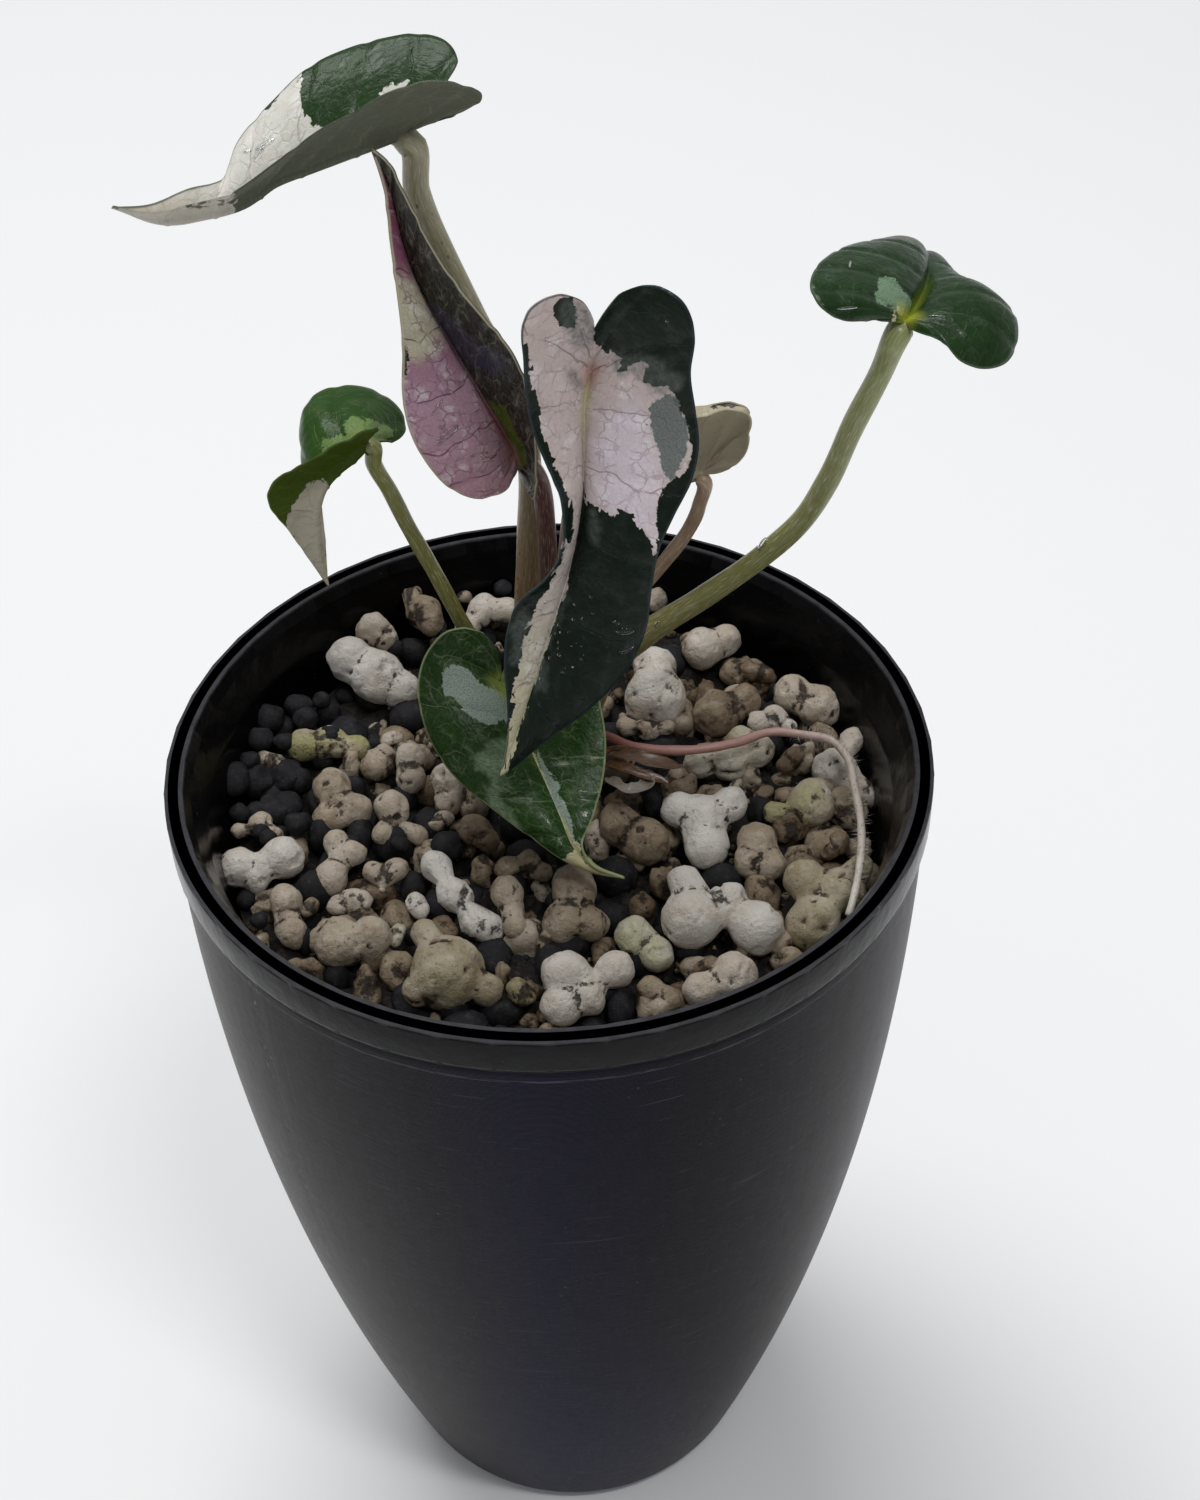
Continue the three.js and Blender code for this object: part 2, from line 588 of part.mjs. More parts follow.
// Gives an open surface a thickness: a copy on each side, and a strip along its free edge
function thickened(points, faces, thickness) {
  const normals = points.map(() => new THREE.Vector3());
  for (const [a, b, c] of faces) {
    const ab = points[b].clone().sub(points[a]);
    const normal = ab.cross(points[c].clone().sub(points[a]));
    [a, b, c].forEach((corner) => normals[corner].add(normal));
  }
  const count = points.length;
  const shift = (point, corner, by) => point.clone().addScaledVector(normals[corner].normalize(), by);
  const top = points.map((point, corner) => shift(point, corner, thickness / 2));
  const bottom = points.map((point, corner) => shift(point, corner, -thickness / 2));
  const index = [];
  const edges = new Map();
  for (const [a, b, c] of faces) {
    index.push(a, b, c, c + count, b + count, a + count);
    for (const [from, to] of [[a, b], [b, c], [c, a]]) edges.set(`${from} ${to}`, [from, to]);
  }
  for (const [from, to] of edges.values()) {
    if (edges.has(`${to} ${from}`)) continue;
    index.push(to, from, from + count, to, from + count, to + count);
  }
  const geometry = new THREE.BufferGeometry();
  geometry.setFromPoints([...top, ...bottom]);
  geometry.setIndex(index);
  geometry.computeVertexNormals();
  return geometry;
}

function tube(curve, radius, sides, spacing) {
  const section = new THREE.Shape();
  section.absarc(0, 0, radius, 0, 2 * Math.PI);
  return new THREE.ExtrudeGeometry(section, {
    steps: Math.ceil(curve.getLength() / spacing),
    curveSegments: sides / 2,
    extrudePath: curve,
    bevelEnabled: false,
  });
}

function drySheath() {
  const strip = new THREE.Shape();
  const across = DRY_SHEATH.width / 2;
  const through = DRY_SHEATH.thickness / 2;
  strip.moveTo(-through, -across);
  strip.lineTo(through, -across);
  strip.lineTo(through, across);
  strip.lineTo(-through, across);
  const curve = smoothPath(DRY_SHEATH.path);
  return new THREE.ExtrudeGeometry(strip, { steps: 10, extrudePath: curve, bevelEnabled: false });
}

addPart('outer_pot', outerPot(), MATERIALS.print);
addPart('liner_pot', linerPot(), MATERIALS.plastic);
addPart('substrate_bed', substrateBed(), MATERIALS.soil);
addPart('crown', crown(), MATERIALS.crown);

const loose = [
  ...STONES,
  ...BEADS.map(([x, y, radius]) => ({ at: [x, y], half: [radius, radius, radius], bead: true })),
];
const crownCentre = new THREE.Vector3(CROWN.x, CROWN.y, CROWN.top - CROWN.radius / 2);
const bodies = loose.map((stone) => ({
  centre: stoneCentre(stone),
  size: Math.cbrt(stone.half[0] * stone.half[1] * stone.half[2]),
}));
bodies.push({ centre: crownCentre, size: CROWN.radius });
loose.forEach((stone, index) => {
  const number = String(stone.bead ? index - STONES.length + 1 : index + 1).padStart(2, '0');
  const material = stone.bead ? MATERIALS.bead : finish(stone.colour, 0.85);
  addPart(`${stone.bead ? 'bead' : 'pumice'}_${number}`, stoneGeometry(stone, index, bodies), material);
});

for (const [letter, petiole] of Object.entries(PETIOLES)) {
  const stalk = tube(smoothPath(petiole.path), petiole.radius, STALK_SIDES, STALK_SPACING);
  addPart(`petiole_${letter}`, stalk, finish(petiole.colour, 0.45));
}
for (const [letter, leaf] of Object.entries(LEAVES)) {
  addPart(`leaf_${letter}`, leafGeometry(leaf), finish(leaf.colour, 0.3));
}
const rootPath = smoothCurve(AERIAL_ROOT.path.map(seenAtHeight));
const root = tube(rootPath, AERIAL_ROOT.radius, ROOT_SIDES, ROOT_SPACING);
addPart('aerial_root', root, MATERIALS.root);
addPart('dry_sheath', drySheath(), MATERIALS.husk);

export default plant;
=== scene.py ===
"""A potted bambino alocasia: its variegated leaves, stalks, pumice, beads and two pots.

The sizes below are in millimetres in the frame of the part: +Z up, the front at -Y, and the origin at the
centre of the outer pot's flat base. The mesh code turns them into metres at the end. Pixels are those of
the photograph, 1200 wide and 1500 high.
"""

import bpy
import numpy as np
from mathutils import Matrix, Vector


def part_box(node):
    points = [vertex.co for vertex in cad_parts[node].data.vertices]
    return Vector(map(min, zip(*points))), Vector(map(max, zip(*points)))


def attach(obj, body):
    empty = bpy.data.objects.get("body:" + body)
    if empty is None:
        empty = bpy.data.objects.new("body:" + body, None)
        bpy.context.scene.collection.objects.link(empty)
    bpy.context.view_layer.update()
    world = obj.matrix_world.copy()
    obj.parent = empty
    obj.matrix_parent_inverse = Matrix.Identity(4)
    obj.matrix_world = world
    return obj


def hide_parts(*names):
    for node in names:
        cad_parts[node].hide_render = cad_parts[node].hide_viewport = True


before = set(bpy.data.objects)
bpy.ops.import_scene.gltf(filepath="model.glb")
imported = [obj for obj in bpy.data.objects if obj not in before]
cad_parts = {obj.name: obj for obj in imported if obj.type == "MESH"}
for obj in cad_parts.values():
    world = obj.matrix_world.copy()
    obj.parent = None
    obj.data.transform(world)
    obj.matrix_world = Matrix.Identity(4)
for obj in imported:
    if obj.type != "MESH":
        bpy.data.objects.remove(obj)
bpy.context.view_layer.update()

MM = 0.001

# The photograph's size in pixels, and its camera: place, how far down it looks, roll and focal length. Then
# the sensor's width in millimetres, and about how many pixels a millimetre of the plant takes
IMAGE = np.array([1200, 1500])
CAMERA_AT = np.array([6.0, -192.2, 298.5])
CAMERA_DOWN = np.radians(42.1)
CAMERA_ROLL = np.radians(-1.46)
FOCAL_PIXELS = 2200
SENSOR = 36
PIXELS_PER_MM = 9

# The two pots and the planted surface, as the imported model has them
RIM_RADIUS = 45
RIM_HEIGHT = 125
COLLAR_DEPTH = 4.6
COLLAR_WIDTH = 2.1
COLLAR_BOTTOM = RIM_HEIGHT - COLLAR_DEPTH
POT_HEIGHT = 120.1
POT_TOP_RADIUS = 44.4
POT_FOOT_RADIUS = 25.5
POT_WALL = 2
POT_FLOOR = 2.4
FOOT_ROUND = 3
LINER_WALL = 1.1
LINER_FLOOR_HEIGHT = 40
LINER_FLOOR_RADIUS = 31
LINER_TOP_RADIUS = 42
BED_HEIGHT = 109
BED_SLOPE = 0.12
BED_RADIUS = 38.6

# The outer pot's printed layers, and how far left of the front its seam lies, in radians
LAYERS_PER_MM = 5.0
SEAM_TURN = 0.82

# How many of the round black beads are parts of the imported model
LARGE_BEADS = 5

# Each leaf has a midrib from the stalk's junction to the tip, and two margins that start at the junction,
# go round the lobe and end at the tip. A point of them is the pixel across and down where it shows, and how
# far behind the pots' axis it lies. turn says after how many points of each margin the lobe ends, and
# bulge how far each half arches between midrib and margin, as a share of its width.
LEAVES = {
    "a": {
        "turn": (4, 5),
        "bulge": (0.02, 0.08),
        "midrib": [
            (403, 133, 14), (363, 147, 13), (313, 166, 12), (274, 181, 11), (240, 203, 10),
            (200, 213, 8.5), (160, 219, 7), (112, 207, 5),
        ],
        "left": [
            (403, 133, 14), (432, 122, 13), (466, 110, 12), (482, 96, 10.5), (463, 86, 9.5),
            (430, 82, 9), (388, 95, 8.5), (355, 114, 8), (326, 129, 8), (274, 167, 7),
            (232, 196, 6.5), (191, 207, 6), (150, 214, 5.5), (112, 207, 5),
        ],
        "right": [
            (403, 133, 14), (428, 105, 15), (449, 80, 16.5), (458, 62, 18.5), (445, 42, 21),
            (418, 35, 22), (385, 40, 22), (353, 49, 21.5), (313, 67, 20), (277, 100, 18),
            (240, 142, 15), (224, 178, 12), (187, 189, 9), (150, 204, 7), (112, 207, 5),
        ],
    },
    "b": {
        "turn": (4, 4),
        "bulge": (0.1, 0.02),
        "midrib": [
            (515, 452, 8), (500, 425, 8), (480, 392, 8), (455, 350, 8.5), (430, 308, 9),
            (407, 258, 9.8), (392, 200, 10.5), (372, 148, 10.5),
        ],
        "left": [
            (515, 452, 8), (514, 474, 6.5), (503, 491, 5), (482, 498, 4), (452, 489, 3),
            (428, 465, 2.5), (409, 430, 2.5), (402, 395, 3), (402, 345, 4.5), (396, 290, 6.5),
            (389, 240, 8), (384, 190, 9.5), (372, 148, 10.5),
        ],
        "right": [
            (515, 452, 8), (524, 478, 6.2), (534, 498, 4.5), (538, 468, 3.3), (536, 430, 2.6),
            (528, 390, 2.6), (513, 352, 3), (488, 320, 3.8), (455, 280, 5.2), (425, 232, 6.8),
            (403, 188, 8.5), (387, 160, 10), (372, 148, 10.5),
        ],
    },
    "c": {
        "turn": (10, 9),
        "bulge": (0.1, 0.06),
        "midrib": [
            (592, 370, 2), (586, 396, 1), (584, 430, 0), (583, 480, -2), (576, 540, -4.5),
            (562, 596, -6.5), (546, 646, -8.5), (530, 696, -10.8), (500, 778, -14),
        ],
        "left": [
            (592, 370, 2), (600, 362, 2.3), (603, 348, 2.6), (604, 328, 2.4), (611, 308, 1.6),
            (624, 293, 0.6), (646, 285, -0.3), (666, 289, -1), (683, 301, -1.6), (692, 318, -2),
            (695, 338, -2.3), (691, 372, -2.7), (696, 412, -3.2), (699, 444, -4), (692, 480, -5.5),
            (674, 516, -7), (660, 548, -8.2), (652, 588, -9.3), (647, 625, -10), (630, 665, -11),
            (592, 706, -12.2), (546, 740, -13.2), (518, 764, -13.8), (500, 778, -14),
        ],
        "right": [
            (592, 370, 2), (589, 358, 2.3), (593, 344, 2.6), (593, 328, 2.4), (588, 312, 1.6),
            (576, 298, 0.6), (560, 294, -0.2), (542, 299, -1), (528, 310, -1.6), (522, 326, -2),
            (523, 360, -2.2), (526, 400, -2.4), (534, 436, -3.2), (546, 466, -4.5), (558, 494, -6),
            (562, 522, -7), (560, 552, -7.8), (544, 579, -8), (518, 602, -8.5), (507, 630, -9),
            (504, 665, -10), (507, 700, -11.3), (507, 740, -12.8), (500, 778, -14),
        ],
    },
    "d": {
        "turn": (6, 4),
        "bulge": (0.06, 0.06),
        "midrib": [
            (700, 474, 16), (680, 478, 17), (660, 487, 18), (646, 508, 19), (640, 540, 19.5),
            (640, 600, 18),
        ],
        "left": [
            (700, 474, 16), (716, 474, 14.5), (732, 467, 13), (744, 454, 12), (748, 434, 11),
            (747, 416, 10.5), (735, 411, 10.5), (712, 415, 11), (688, 422, 12), (655, 436, 13),
            (625, 462, 15), (612, 505, 16.5), (618, 555, 17.5), (640, 600, 18),
        ],
        "right": [
            (700, 474, 16), (718, 455, 19), (738, 430, 21), (749, 411, 22), (738, 404, 23),
            (714, 405, 24), (690, 409, 24), (665, 420, 24), (650, 440, 24), (645, 470, 23.5),
            (648, 505, 22.5), (650, 550, 21), (640, 600, 18),
        ],
    },
    "e": {
        "turn": (5, 6),
        "bulge": (0.12, 0.2),
        "midrib": [
            (904, 323, 8), (916, 306, 12), (926, 284, 17), (930, 264, 22), (926, 250, 28),
            (916, 262, 33), (905, 300, 37),
        ],
        "left": [
            (904, 323, 8), (890, 320, 6.5), (862, 320, 4.5), (836, 318, 3), (819, 306, 3),
            (811, 290, 5), (814, 272, 9), (830, 257, 14), (855, 246, 19), (880, 241, 24),
            (898, 241, 29), (903, 262, 33), (905, 300, 37),
        ],
        "right": [
            (904, 323, 8), (918, 332, 6), (940, 341, 4.5), (959, 361, 3.5), (982, 369, 4),
            (1003, 364, 5.5), (1014, 348, 8), (1014, 318, 12), (996, 299, 16), (972, 296, 19.5),
            (952, 285, 23.5), (938, 266, 28), (925, 262, 32.5), (905, 300, 37),
        ],
    },
    "f": {
        "turn": (4, 5),
        "bulge": (0.04, 0.1),
        "midrib": [
            (365, 443, 6), (350, 458, 5.5), (334, 471, 5), (322, 484, 4.5), (314, 508, 3.8),
            (315, 540, 3.2), (328, 586, 3),
        ],
        "left": [
            (365, 443, 6), (373, 435, 4.2), (378, 429, 3), (368, 431, 2), (350, 440, 1.5),
            (331, 449, 1), (308, 464, 0.5), (283, 477, 0), (270, 490, -0.5), (271, 506, -0.3),
            (290, 530, 1), (309, 558, 2), (328, 586, 3),
        ],
        "right": [
            (365, 443, 6), (384, 442, 9), (398, 440, 11), (405, 430, 13), (399, 411, 15.5),
            (380, 395, 16.8), (350, 387, 17), (325, 391, 16), (309, 403, 14.3), (302, 428, 12.3),
            (305, 458, 10), (319, 484, 7.5), (323, 515, 5.5), (327, 566, 3.5), (328, 586, 3),
        ],
    },
    "g": {
        "turn": (5, 5),
        "bulge": (0.06, 0.1),
        "midrib": [
            (500, 682, 5), (515, 715, 2), (532, 753, -2), (546, 784, -5.5), (560, 816, -9),
            (574, 848, -12), (590, 866, -13.5), (625, 878, -14.5),
        ],
        "left": [
            (500, 682, 5), (512, 662, 6), (530, 645, 6.5), (552, 640, 6.5), (574, 648, 6),
            (591, 668, 5), (600, 702, 2), (606, 745, -2), (602, 785, -6), (592, 820, -9.5),
            (583, 846, -12), (590, 862, -13.5), (625, 878, -14.5),
        ],
        "right": [
            (500, 682, 5), (492, 662, 5.8), (486, 640, 6.5), (470, 628, 6.5), (448, 630, 6.3),
            (428, 650, 5.5), (418, 690, 3), (424, 722, 0.5), (440, 756, -2), (466, 787, -5),
            (496, 811, -8), (530, 836, -10.5), (562, 858, -12.5), (594, 873, -13.8),
            (625, 878, -14.5),
        ],
    },
}

# Markings, as outlines in the photograph's pixels on each half of a leaf. A half is dark with pale zones,
# or pale with dark zones; sage zones lie over both, smoke zones cloud both, and blush zones warm or cool
# the pale tissue. The smoke zone of leaf b and one of leaf c are a painted sheen, and the sage zones of
# leaves f and g are partly a painted wet highlight and sheen.
MARKS = {
    "a": {
        "left": {
            "tissue": "dark",
            "pale": [[(226, 186), (236, 200), (214, 202), (188, 203.5), (188, 206), (216, 205), (230, 202),
                      (236, 225), (90, 250), (90, 180)]],
        },
        "right": {
            "tissue": "dark",
            "pale": [
                [(307, 74), (301, 86), (299.5, 102), (306, 114), (317, 128), (328, 130), (330, 170),
                 (90, 240), (90, 180), (210, 150), (277, 104), (284, 92), (296, 78)],
                [(352, 120), (372, 106), (388, 90), (402, 81), (412, 79), (404, 88), (388, 103), (368, 118),
                 (350, 130)],
            ],
        },
    },
    "b": {
        "left": {
            "tissue": "pale",
            "dark": [[(398, 346), (405, 350), (408, 362), (407, 376), (398, 376)]],
            "blush": [[(390, 270), (412, 282), (428, 300), (440, 325), (436, 345), (420, 358), (400, 360)]],
        },
        "right": {
            "tissue": "dark",
            "sage": [[(486, 395), (505, 404), (520, 430), (530, 462), (522, 470), (508, 452), (496, 425)]],
            # The smoke zone here is a painted purple-blue sheen on the glossy dark half.
            "smoke": [[(424, 300), (440, 304), (462, 322), (482, 344), (500, 352), (512, 366), (496, 372),
                       (476, 366), (452, 344), (436, 326)]],
        },
    },
    "c": {
        "right": {
            "tissue": "pale",
            "dark": [
                [(554, 306), (560, 298), (572, 298), (577, 310), (572, 326), (560, 324), (554, 316)],
                [(510, 300), (526, 346), (530, 370), (534, 394), (540, 414), (546, 440), (553, 462),
                 (561, 480), (566, 492), (569, 510), (568, 530), (564, 544), (556, 568), (546, 590),
                 (534, 610), (525, 630), (520, 650), (517, 670), (515, 690), (512, 706), (509, 728),
                 (470, 730), (470, 600), (530, 540), (500, 330)],
            ],
            "smoke": [
                [(562, 296), (578, 299), (588, 314), (592, 334), (588, 348), (572, 346), (565, 330),
                 (556, 318)],
                [(563, 366), (574, 370), (582, 384), (574, 388), (566, 380)],
                [(518, 606), (526, 606), (530, 618), (524, 640), (519, 664), (512, 664), (512, 630)],
            ],
        },
        "left": {
            "tissue": "pale",
            "dark": [
                [(602, 344), (608, 348), (614, 351), (620, 358), (619, 370), (630, 367), (640, 361),
                 (648, 364), (644, 377), (651, 388), (668, 386), (675, 390), (676, 402), (682, 414),
                 (689, 428), (690, 450), (685, 468), (674, 481), (664, 488), (660, 500), (657, 520),
                 (657, 540), (660, 556), (700, 560), (740, 480), (740, 260), (600, 260), (590, 320)],
                [(583, 478), (588, 498), (590, 503), (600, 508), (612, 514), (616, 515), (620, 511),
                 (633, 514), (643, 528), (652, 543), (655, 562), (700, 580), (700, 790), (500, 800),
                 (507, 774), (511, 756), (521, 730), (528, 702), (538, 674), (546, 646), (556, 612),
                 (566, 590), (568, 570), (572, 540)],
            ],
            "smoke": [
                [(612, 346), (626, 356), (640, 352), (656, 356), (676, 372), (690, 370), (680, 388),
                 (664, 394), (648, 388), (636, 372), (622, 376), (614, 364)],
                # This smoke zone is a painted light sheen streak on the dark tissue.
                [(590, 506), (597, 508), (602, 530), (600, 547), (594, 545), (590, 528)],
                [(541, 645), (549, 668), (547, 688), (536, 692), (534, 676)],
                [(566, 592), (558, 612), (548, 640), (552, 646), (562, 620), (570, 600)],
            ],
            "sage": [
                [(650, 404), (662, 394), (674, 392), (680, 408), (688, 426), (689, 450), (682, 466),
                 (672, 480), (664, 470), (657, 448), (649, 426)],
            ],
            "blush": [[(592, 440), (612, 410), (640, 400), (650, 430), (662, 478), (660, 500), (652, 540),
                       (620, 510), (594, 500)]],
        },
    },
    "d": {
        "left": {"tissue": "pale"},
        "right": {
            "tissue": "pale",
            "dark": [[(712, 408), (730, 399), (752, 398), (756, 412), (747, 411), (735, 407)]],
        },
    },
    "e": {
        "left": {
            "tissue": "dark",
            "pale": [[(895, 303), (906, 305), (904, 311), (892, 317), (889, 312)]],
            "sage": [[(875, 281), (882, 276), (890, 279), (897, 288), (907, 297), (912, 308), (904, 314),
                      (888, 307), (877, 303), (875, 293)]],
        },
        "right": {"tissue": "dark"},
    },
    "f": {
        "left": {
            "tissue": "dark",
            "pale": [[(303, 486), (322, 480), (326, 520), (340, 600), (322, 595), (300, 549), (288, 530),
                      (284, 515), (293, 502)]],
        },
        "right": {
            "tissue": "dark",
            "pale": [[(316, 480), (322, 470), (330, 600), (300, 600), (306, 500)]],
            # This sage zone is pale green, partly a painted wet highlight.
            "sage": [[(318, 457), (325, 440), (334, 441), (341, 433), (346, 436), (344, 426), (351, 419),
                      (358, 418), (370, 423), (382, 423), (394, 431), (391, 438), (378, 442), (350, 455),
                      (326, 475)]],
        },
    },
    "g": {
        "left": {
            "tissue": "dark",
            "pale": [[(526, 748), (535, 752), (545, 775), (556, 799), (567, 822), (576, 842), (584, 858),
                      (640, 880), (625, 890), (574, 858), (556, 832), (540, 800)]],
            "sage": [[(537, 752), (546, 768), (562, 786), (559, 795), (567, 806), (573, 822), (576, 842),
                      (560, 815), (546, 785)]],
        },
        "right": {
            "tissue": "dark",
            "pale": [[(576, 846), (590, 868), (640, 880), (620, 892), (560, 862)]],
            "smoke": [[(476, 756), (483, 748), (500, 738), (512, 734), (512, 752), (503, 776), (499, 796),
                       (505, 806), (518, 820), (530, 840), (514, 836), (494, 818), (488, 797), (490, 780),
                       (480, 768)]],
            # This sage zone is dusty grey, partly a painted sheen.
            "sage": [[(443, 671), (454, 665), (467, 669), (481, 684), (500, 691), (509, 697), (508, 721),
                      (491, 728), (474, 719), (461, 708), (443, 691)]],
        },
    },
}

# Colours of each leaf: dark and pale tissue on top, both again underneath, the patches and veins, and the
# tissue round the junction with the stalk. pale is a row of colours from the end of the lobes (0) by the
# junction (0.5) to the tip (1), and veining is how strongly the veins show on pale tissue. Leaf b's smoke
# colour is a painted sheen, and the smoke colour of c and the sage colours of f and g are partly painted
# sheen and wet highlight.
LEAF_COLOURS = {
    "a": {
        "dark": "#24401a",
        "pale": [(0.5, "#dcdcd2"), (0.85, "#dedcd4"), (1.0, "#cfc4b4")],
        "cool": "#e0e0d6",
        "under": ("#5d6152", "#cbc6ba"),
        "sage": "#8b948a",
        "smoke": "#7d8878",
        "vein": "#8f8b7c",
        "veining": 0.35,
        "edge": "#3b4a38",
        "glow": "#b9bc8f",
        "notch": "#a9ab8c",
    },
    "b": {
        "dark": "#14120c",
        "pale": [(0.0, "#b59da2"), (0.45, "#b08b96"), (0.66, "#b191a0"), (0.8, "#96647c"), (1.0, "#6c2a3c")],
        "cool": "#c0bda4",
        "under": ("#33331f", "#a08a86"),
        "sage": "#4d5c10",
        # The smoke colour here is a painted purple-blue sheen.
        "smoke": "#38344e",
        "vein": "#64324c",
        "veining": 0.8,
        "edge": "#b9b49a",
        "glow": "#a8606c",
        "notch": "#b08a80",
    },
    "c": {
        "dark": "#0e1c10",
        "pale": [(0.0, "#c9bbbb"), (0.42, "#cbbdb8"), (0.6, "#cdc0bc"), (0.8, "#cdc4bb"), (1.0, "#c6c49a")],
        "cool": "#ddd2da",
        "under": ("#3d4a44", "#b3aaa2"),
        "sage": "#6a7673",
        # The smoke colour here is partly mottled tissue and partly a painted sheen.
        "smoke": "#59625c",
        "vein": "#7f5c66",
        "veining": 0.55,
        "edge": "#24323a",
        "glow": "#c3c18c",
        "notch": "#bb928c",
    },
    "d": {
        "dark": "#26261c",
        "pale": [(0.0, "#b5ae98"), (0.6, "#b3ab93"), (1.0, "#a89b80")],
        "cool": "#c4bda6",
        "under": ("#33342a", "#b3ab94"),
        "sage": "#8b8a70",
        "smoke": "#8b8a70",
        "vein": "#8c8468",
        "veining": 0.4,
        "edge": "#a9a189",
        "glow": "#b9b284",
        "notch": "#b0a780",
    },
    "e": {
        "dark": "#1b3713",
        "pale": [(0.0, "#c4bd9a"), (1.0, "#c4bd9a")],
        "cool": "#c4bd9a",
        "under": ("#2c3d12", "#a8a87c"),
        "sage": "#7f9a7c",
        "smoke": "#5b7454",
        "vein": "#3e5a30",
        "veining": 0.4,
        "edge": "#4a5f48",
        "glow": "#7f8c20",
        "notch": "#a3a832",
    },
    "f": {
        "dark": "#2d5012",
        "pale": [(0.0, "#aeb58a"), (0.75, "#b5b1a2"), (0.93, "#a89a85"), (1.0, "#6e5334")],
        "cool": "#b5b1a2",
        "under": ("#3c4f08", "#b0aa98"),
        # The sage colour here is pale green, partly a painted wet highlight.
        "sage": "#7f9c58",
        "smoke": "#6c8450",
        "vein": "#4a6a2c",
        "veining": 0.4,
        "edge": "#4c5c34",
        "glow": "#8c9440",
        "notch": "#8c9440",
    },
    "g": {
        "dark": "#1a3a0a",
        "pale": [(0.0, "#a9b488"), (0.6, "#b9bd98"), (0.9, "#b3ab84"), (1.0, "#98875c")],
        "cool": "#b9bd98",
        "under": ("#2c4410", "#8c9468"),
        # The sage colour here is dusty grey, partly a painted sheen.
        "sage": "#9aa79c",
        "smoke": "#85987a",
        "vein": "#2f5220",
        "veining": 0.3,
        "edge": "#8f9a72",
        "glow": "#8f9a50",
        "notch": "#8f9a50",
    },
}

# Each stalk's path from inside the crown up to its leaf, and its radius there and at the leaf
STALKS = {
    "a": {
        "radii": (2.0, 1.35),
        "path": [
            (-2.2, 15, 114), (-2.2, 15, 124), (-2.2, 15, 131), (-2, 14.7, 138), (-1.5, 14.5, 147),
            (-1.2, 14.3, 157), (-2.6, 14, 166.5), (-6, 14, 174.5), (-9, 14, 182.5), (-11.3, 14, 190),
        ],
    },
    "b": {
        "radii": (1.8, 1.1),
        "path": [
            (-0.2, 11.6, 114), (0.3, 11.6, 125), (0.5, 11.7, 132), (0.5, 11.5, 141), (0.5, 11.2, 150),
            (0, 10.6, 156),
        ],
    },
    "c": {
        "radii": (1.5, 0.95),
        "path": [
            (1.3, 8.2, 114), (1.4, 8, 125), (1.6, 8, 135), (2.5, 8, 145.5), (3.5, 7, 154.5),
            (5, 6, 163), (6.4, 5, 169.5),
        ],
    },
    "d": {
        "radii": (1.4, 0.85),
        "path": [
            (2.2, 15.6, 114), (3, 15.8, 121), (5.5, 16, 127), (9.5, 16.2, 133.5), (14, 16.5, 139.5),
            (17, 16.3, 144.5), (18.2, 15.6, 148.5),
        ],
    },
    "e": {
        "radii": (1.95, 1.3),
        "path": [
            (3.7, 11.4, 114), (4.7, 11.7, 122), (7.2, 11.5, 128), (12, 11, 133.5), (18.5, 10.5, 139),
            (25.5, 10, 145.5), (29.5, 9.5, 150.5), (32, 9, 156), (34.5, 8.5, 164), (36.9, 8.2, 170.5),
        ],
    },
    "f": {
        "radii": (1.45, 0.9),
        "path": [
            (-3.9, 11.4, 114), (-4.9, 11.2, 122.5), (-7, 10.5, 128.5), (-10, 10, 137), (-12.5, 9, 145),
            (-15, 8, 152.5), (-16.5, 7.5, 157.5), (-17.8, 6.7, 161.6),
        ],
    },
    "g": {
        "radii": (1.3, 0.8),
        "path": [(-2.6, 8.4, 114), (-3.8, 7.8, 121.5), (-4.9, 7, 126.5)],
    },
}

# The share of the midrib that a stalk runs on under while it thins to nothing
RIB_RUN = 0.06

# Stalk colours from the base to the leaf, and how many brown flecks each has
STALK_COLOURS = {
    "a": ([(0.0, "#7c5c40"), (0.3, "#8f7450"), (0.5, "#8f8368"), (1.0, "#9b9679")], 0.9),
    "b": ([(0.0, "#6b4436"), (0.5, "#54332a"), (1.0, "#6b3f40")], 0.2),
    "c": ([(0.0, "#7a5f4c"), (0.6, "#8c6d5f"), (1.0, "#b09a8c")], 0.3),
    "d": ([(0.0, "#8b7252"), (0.6, "#9c8268"), (1.0, "#a98f78")], 0.3),
    "e": ([(0.0, "#82704c"), (0.22, "#7d7440"), (0.5, "#7b7c42"), (0.8, "#868a56"), (1.0, "#8f9760")], 0.25),
    "f": ([(0.0, "#857a48"), (0.5, "#72702f"), (1.0, "#83864c")], 0.15),
    "g": ([(0.0, "#7d7a45"), (1.0, "#71813c")], 0.1),
}

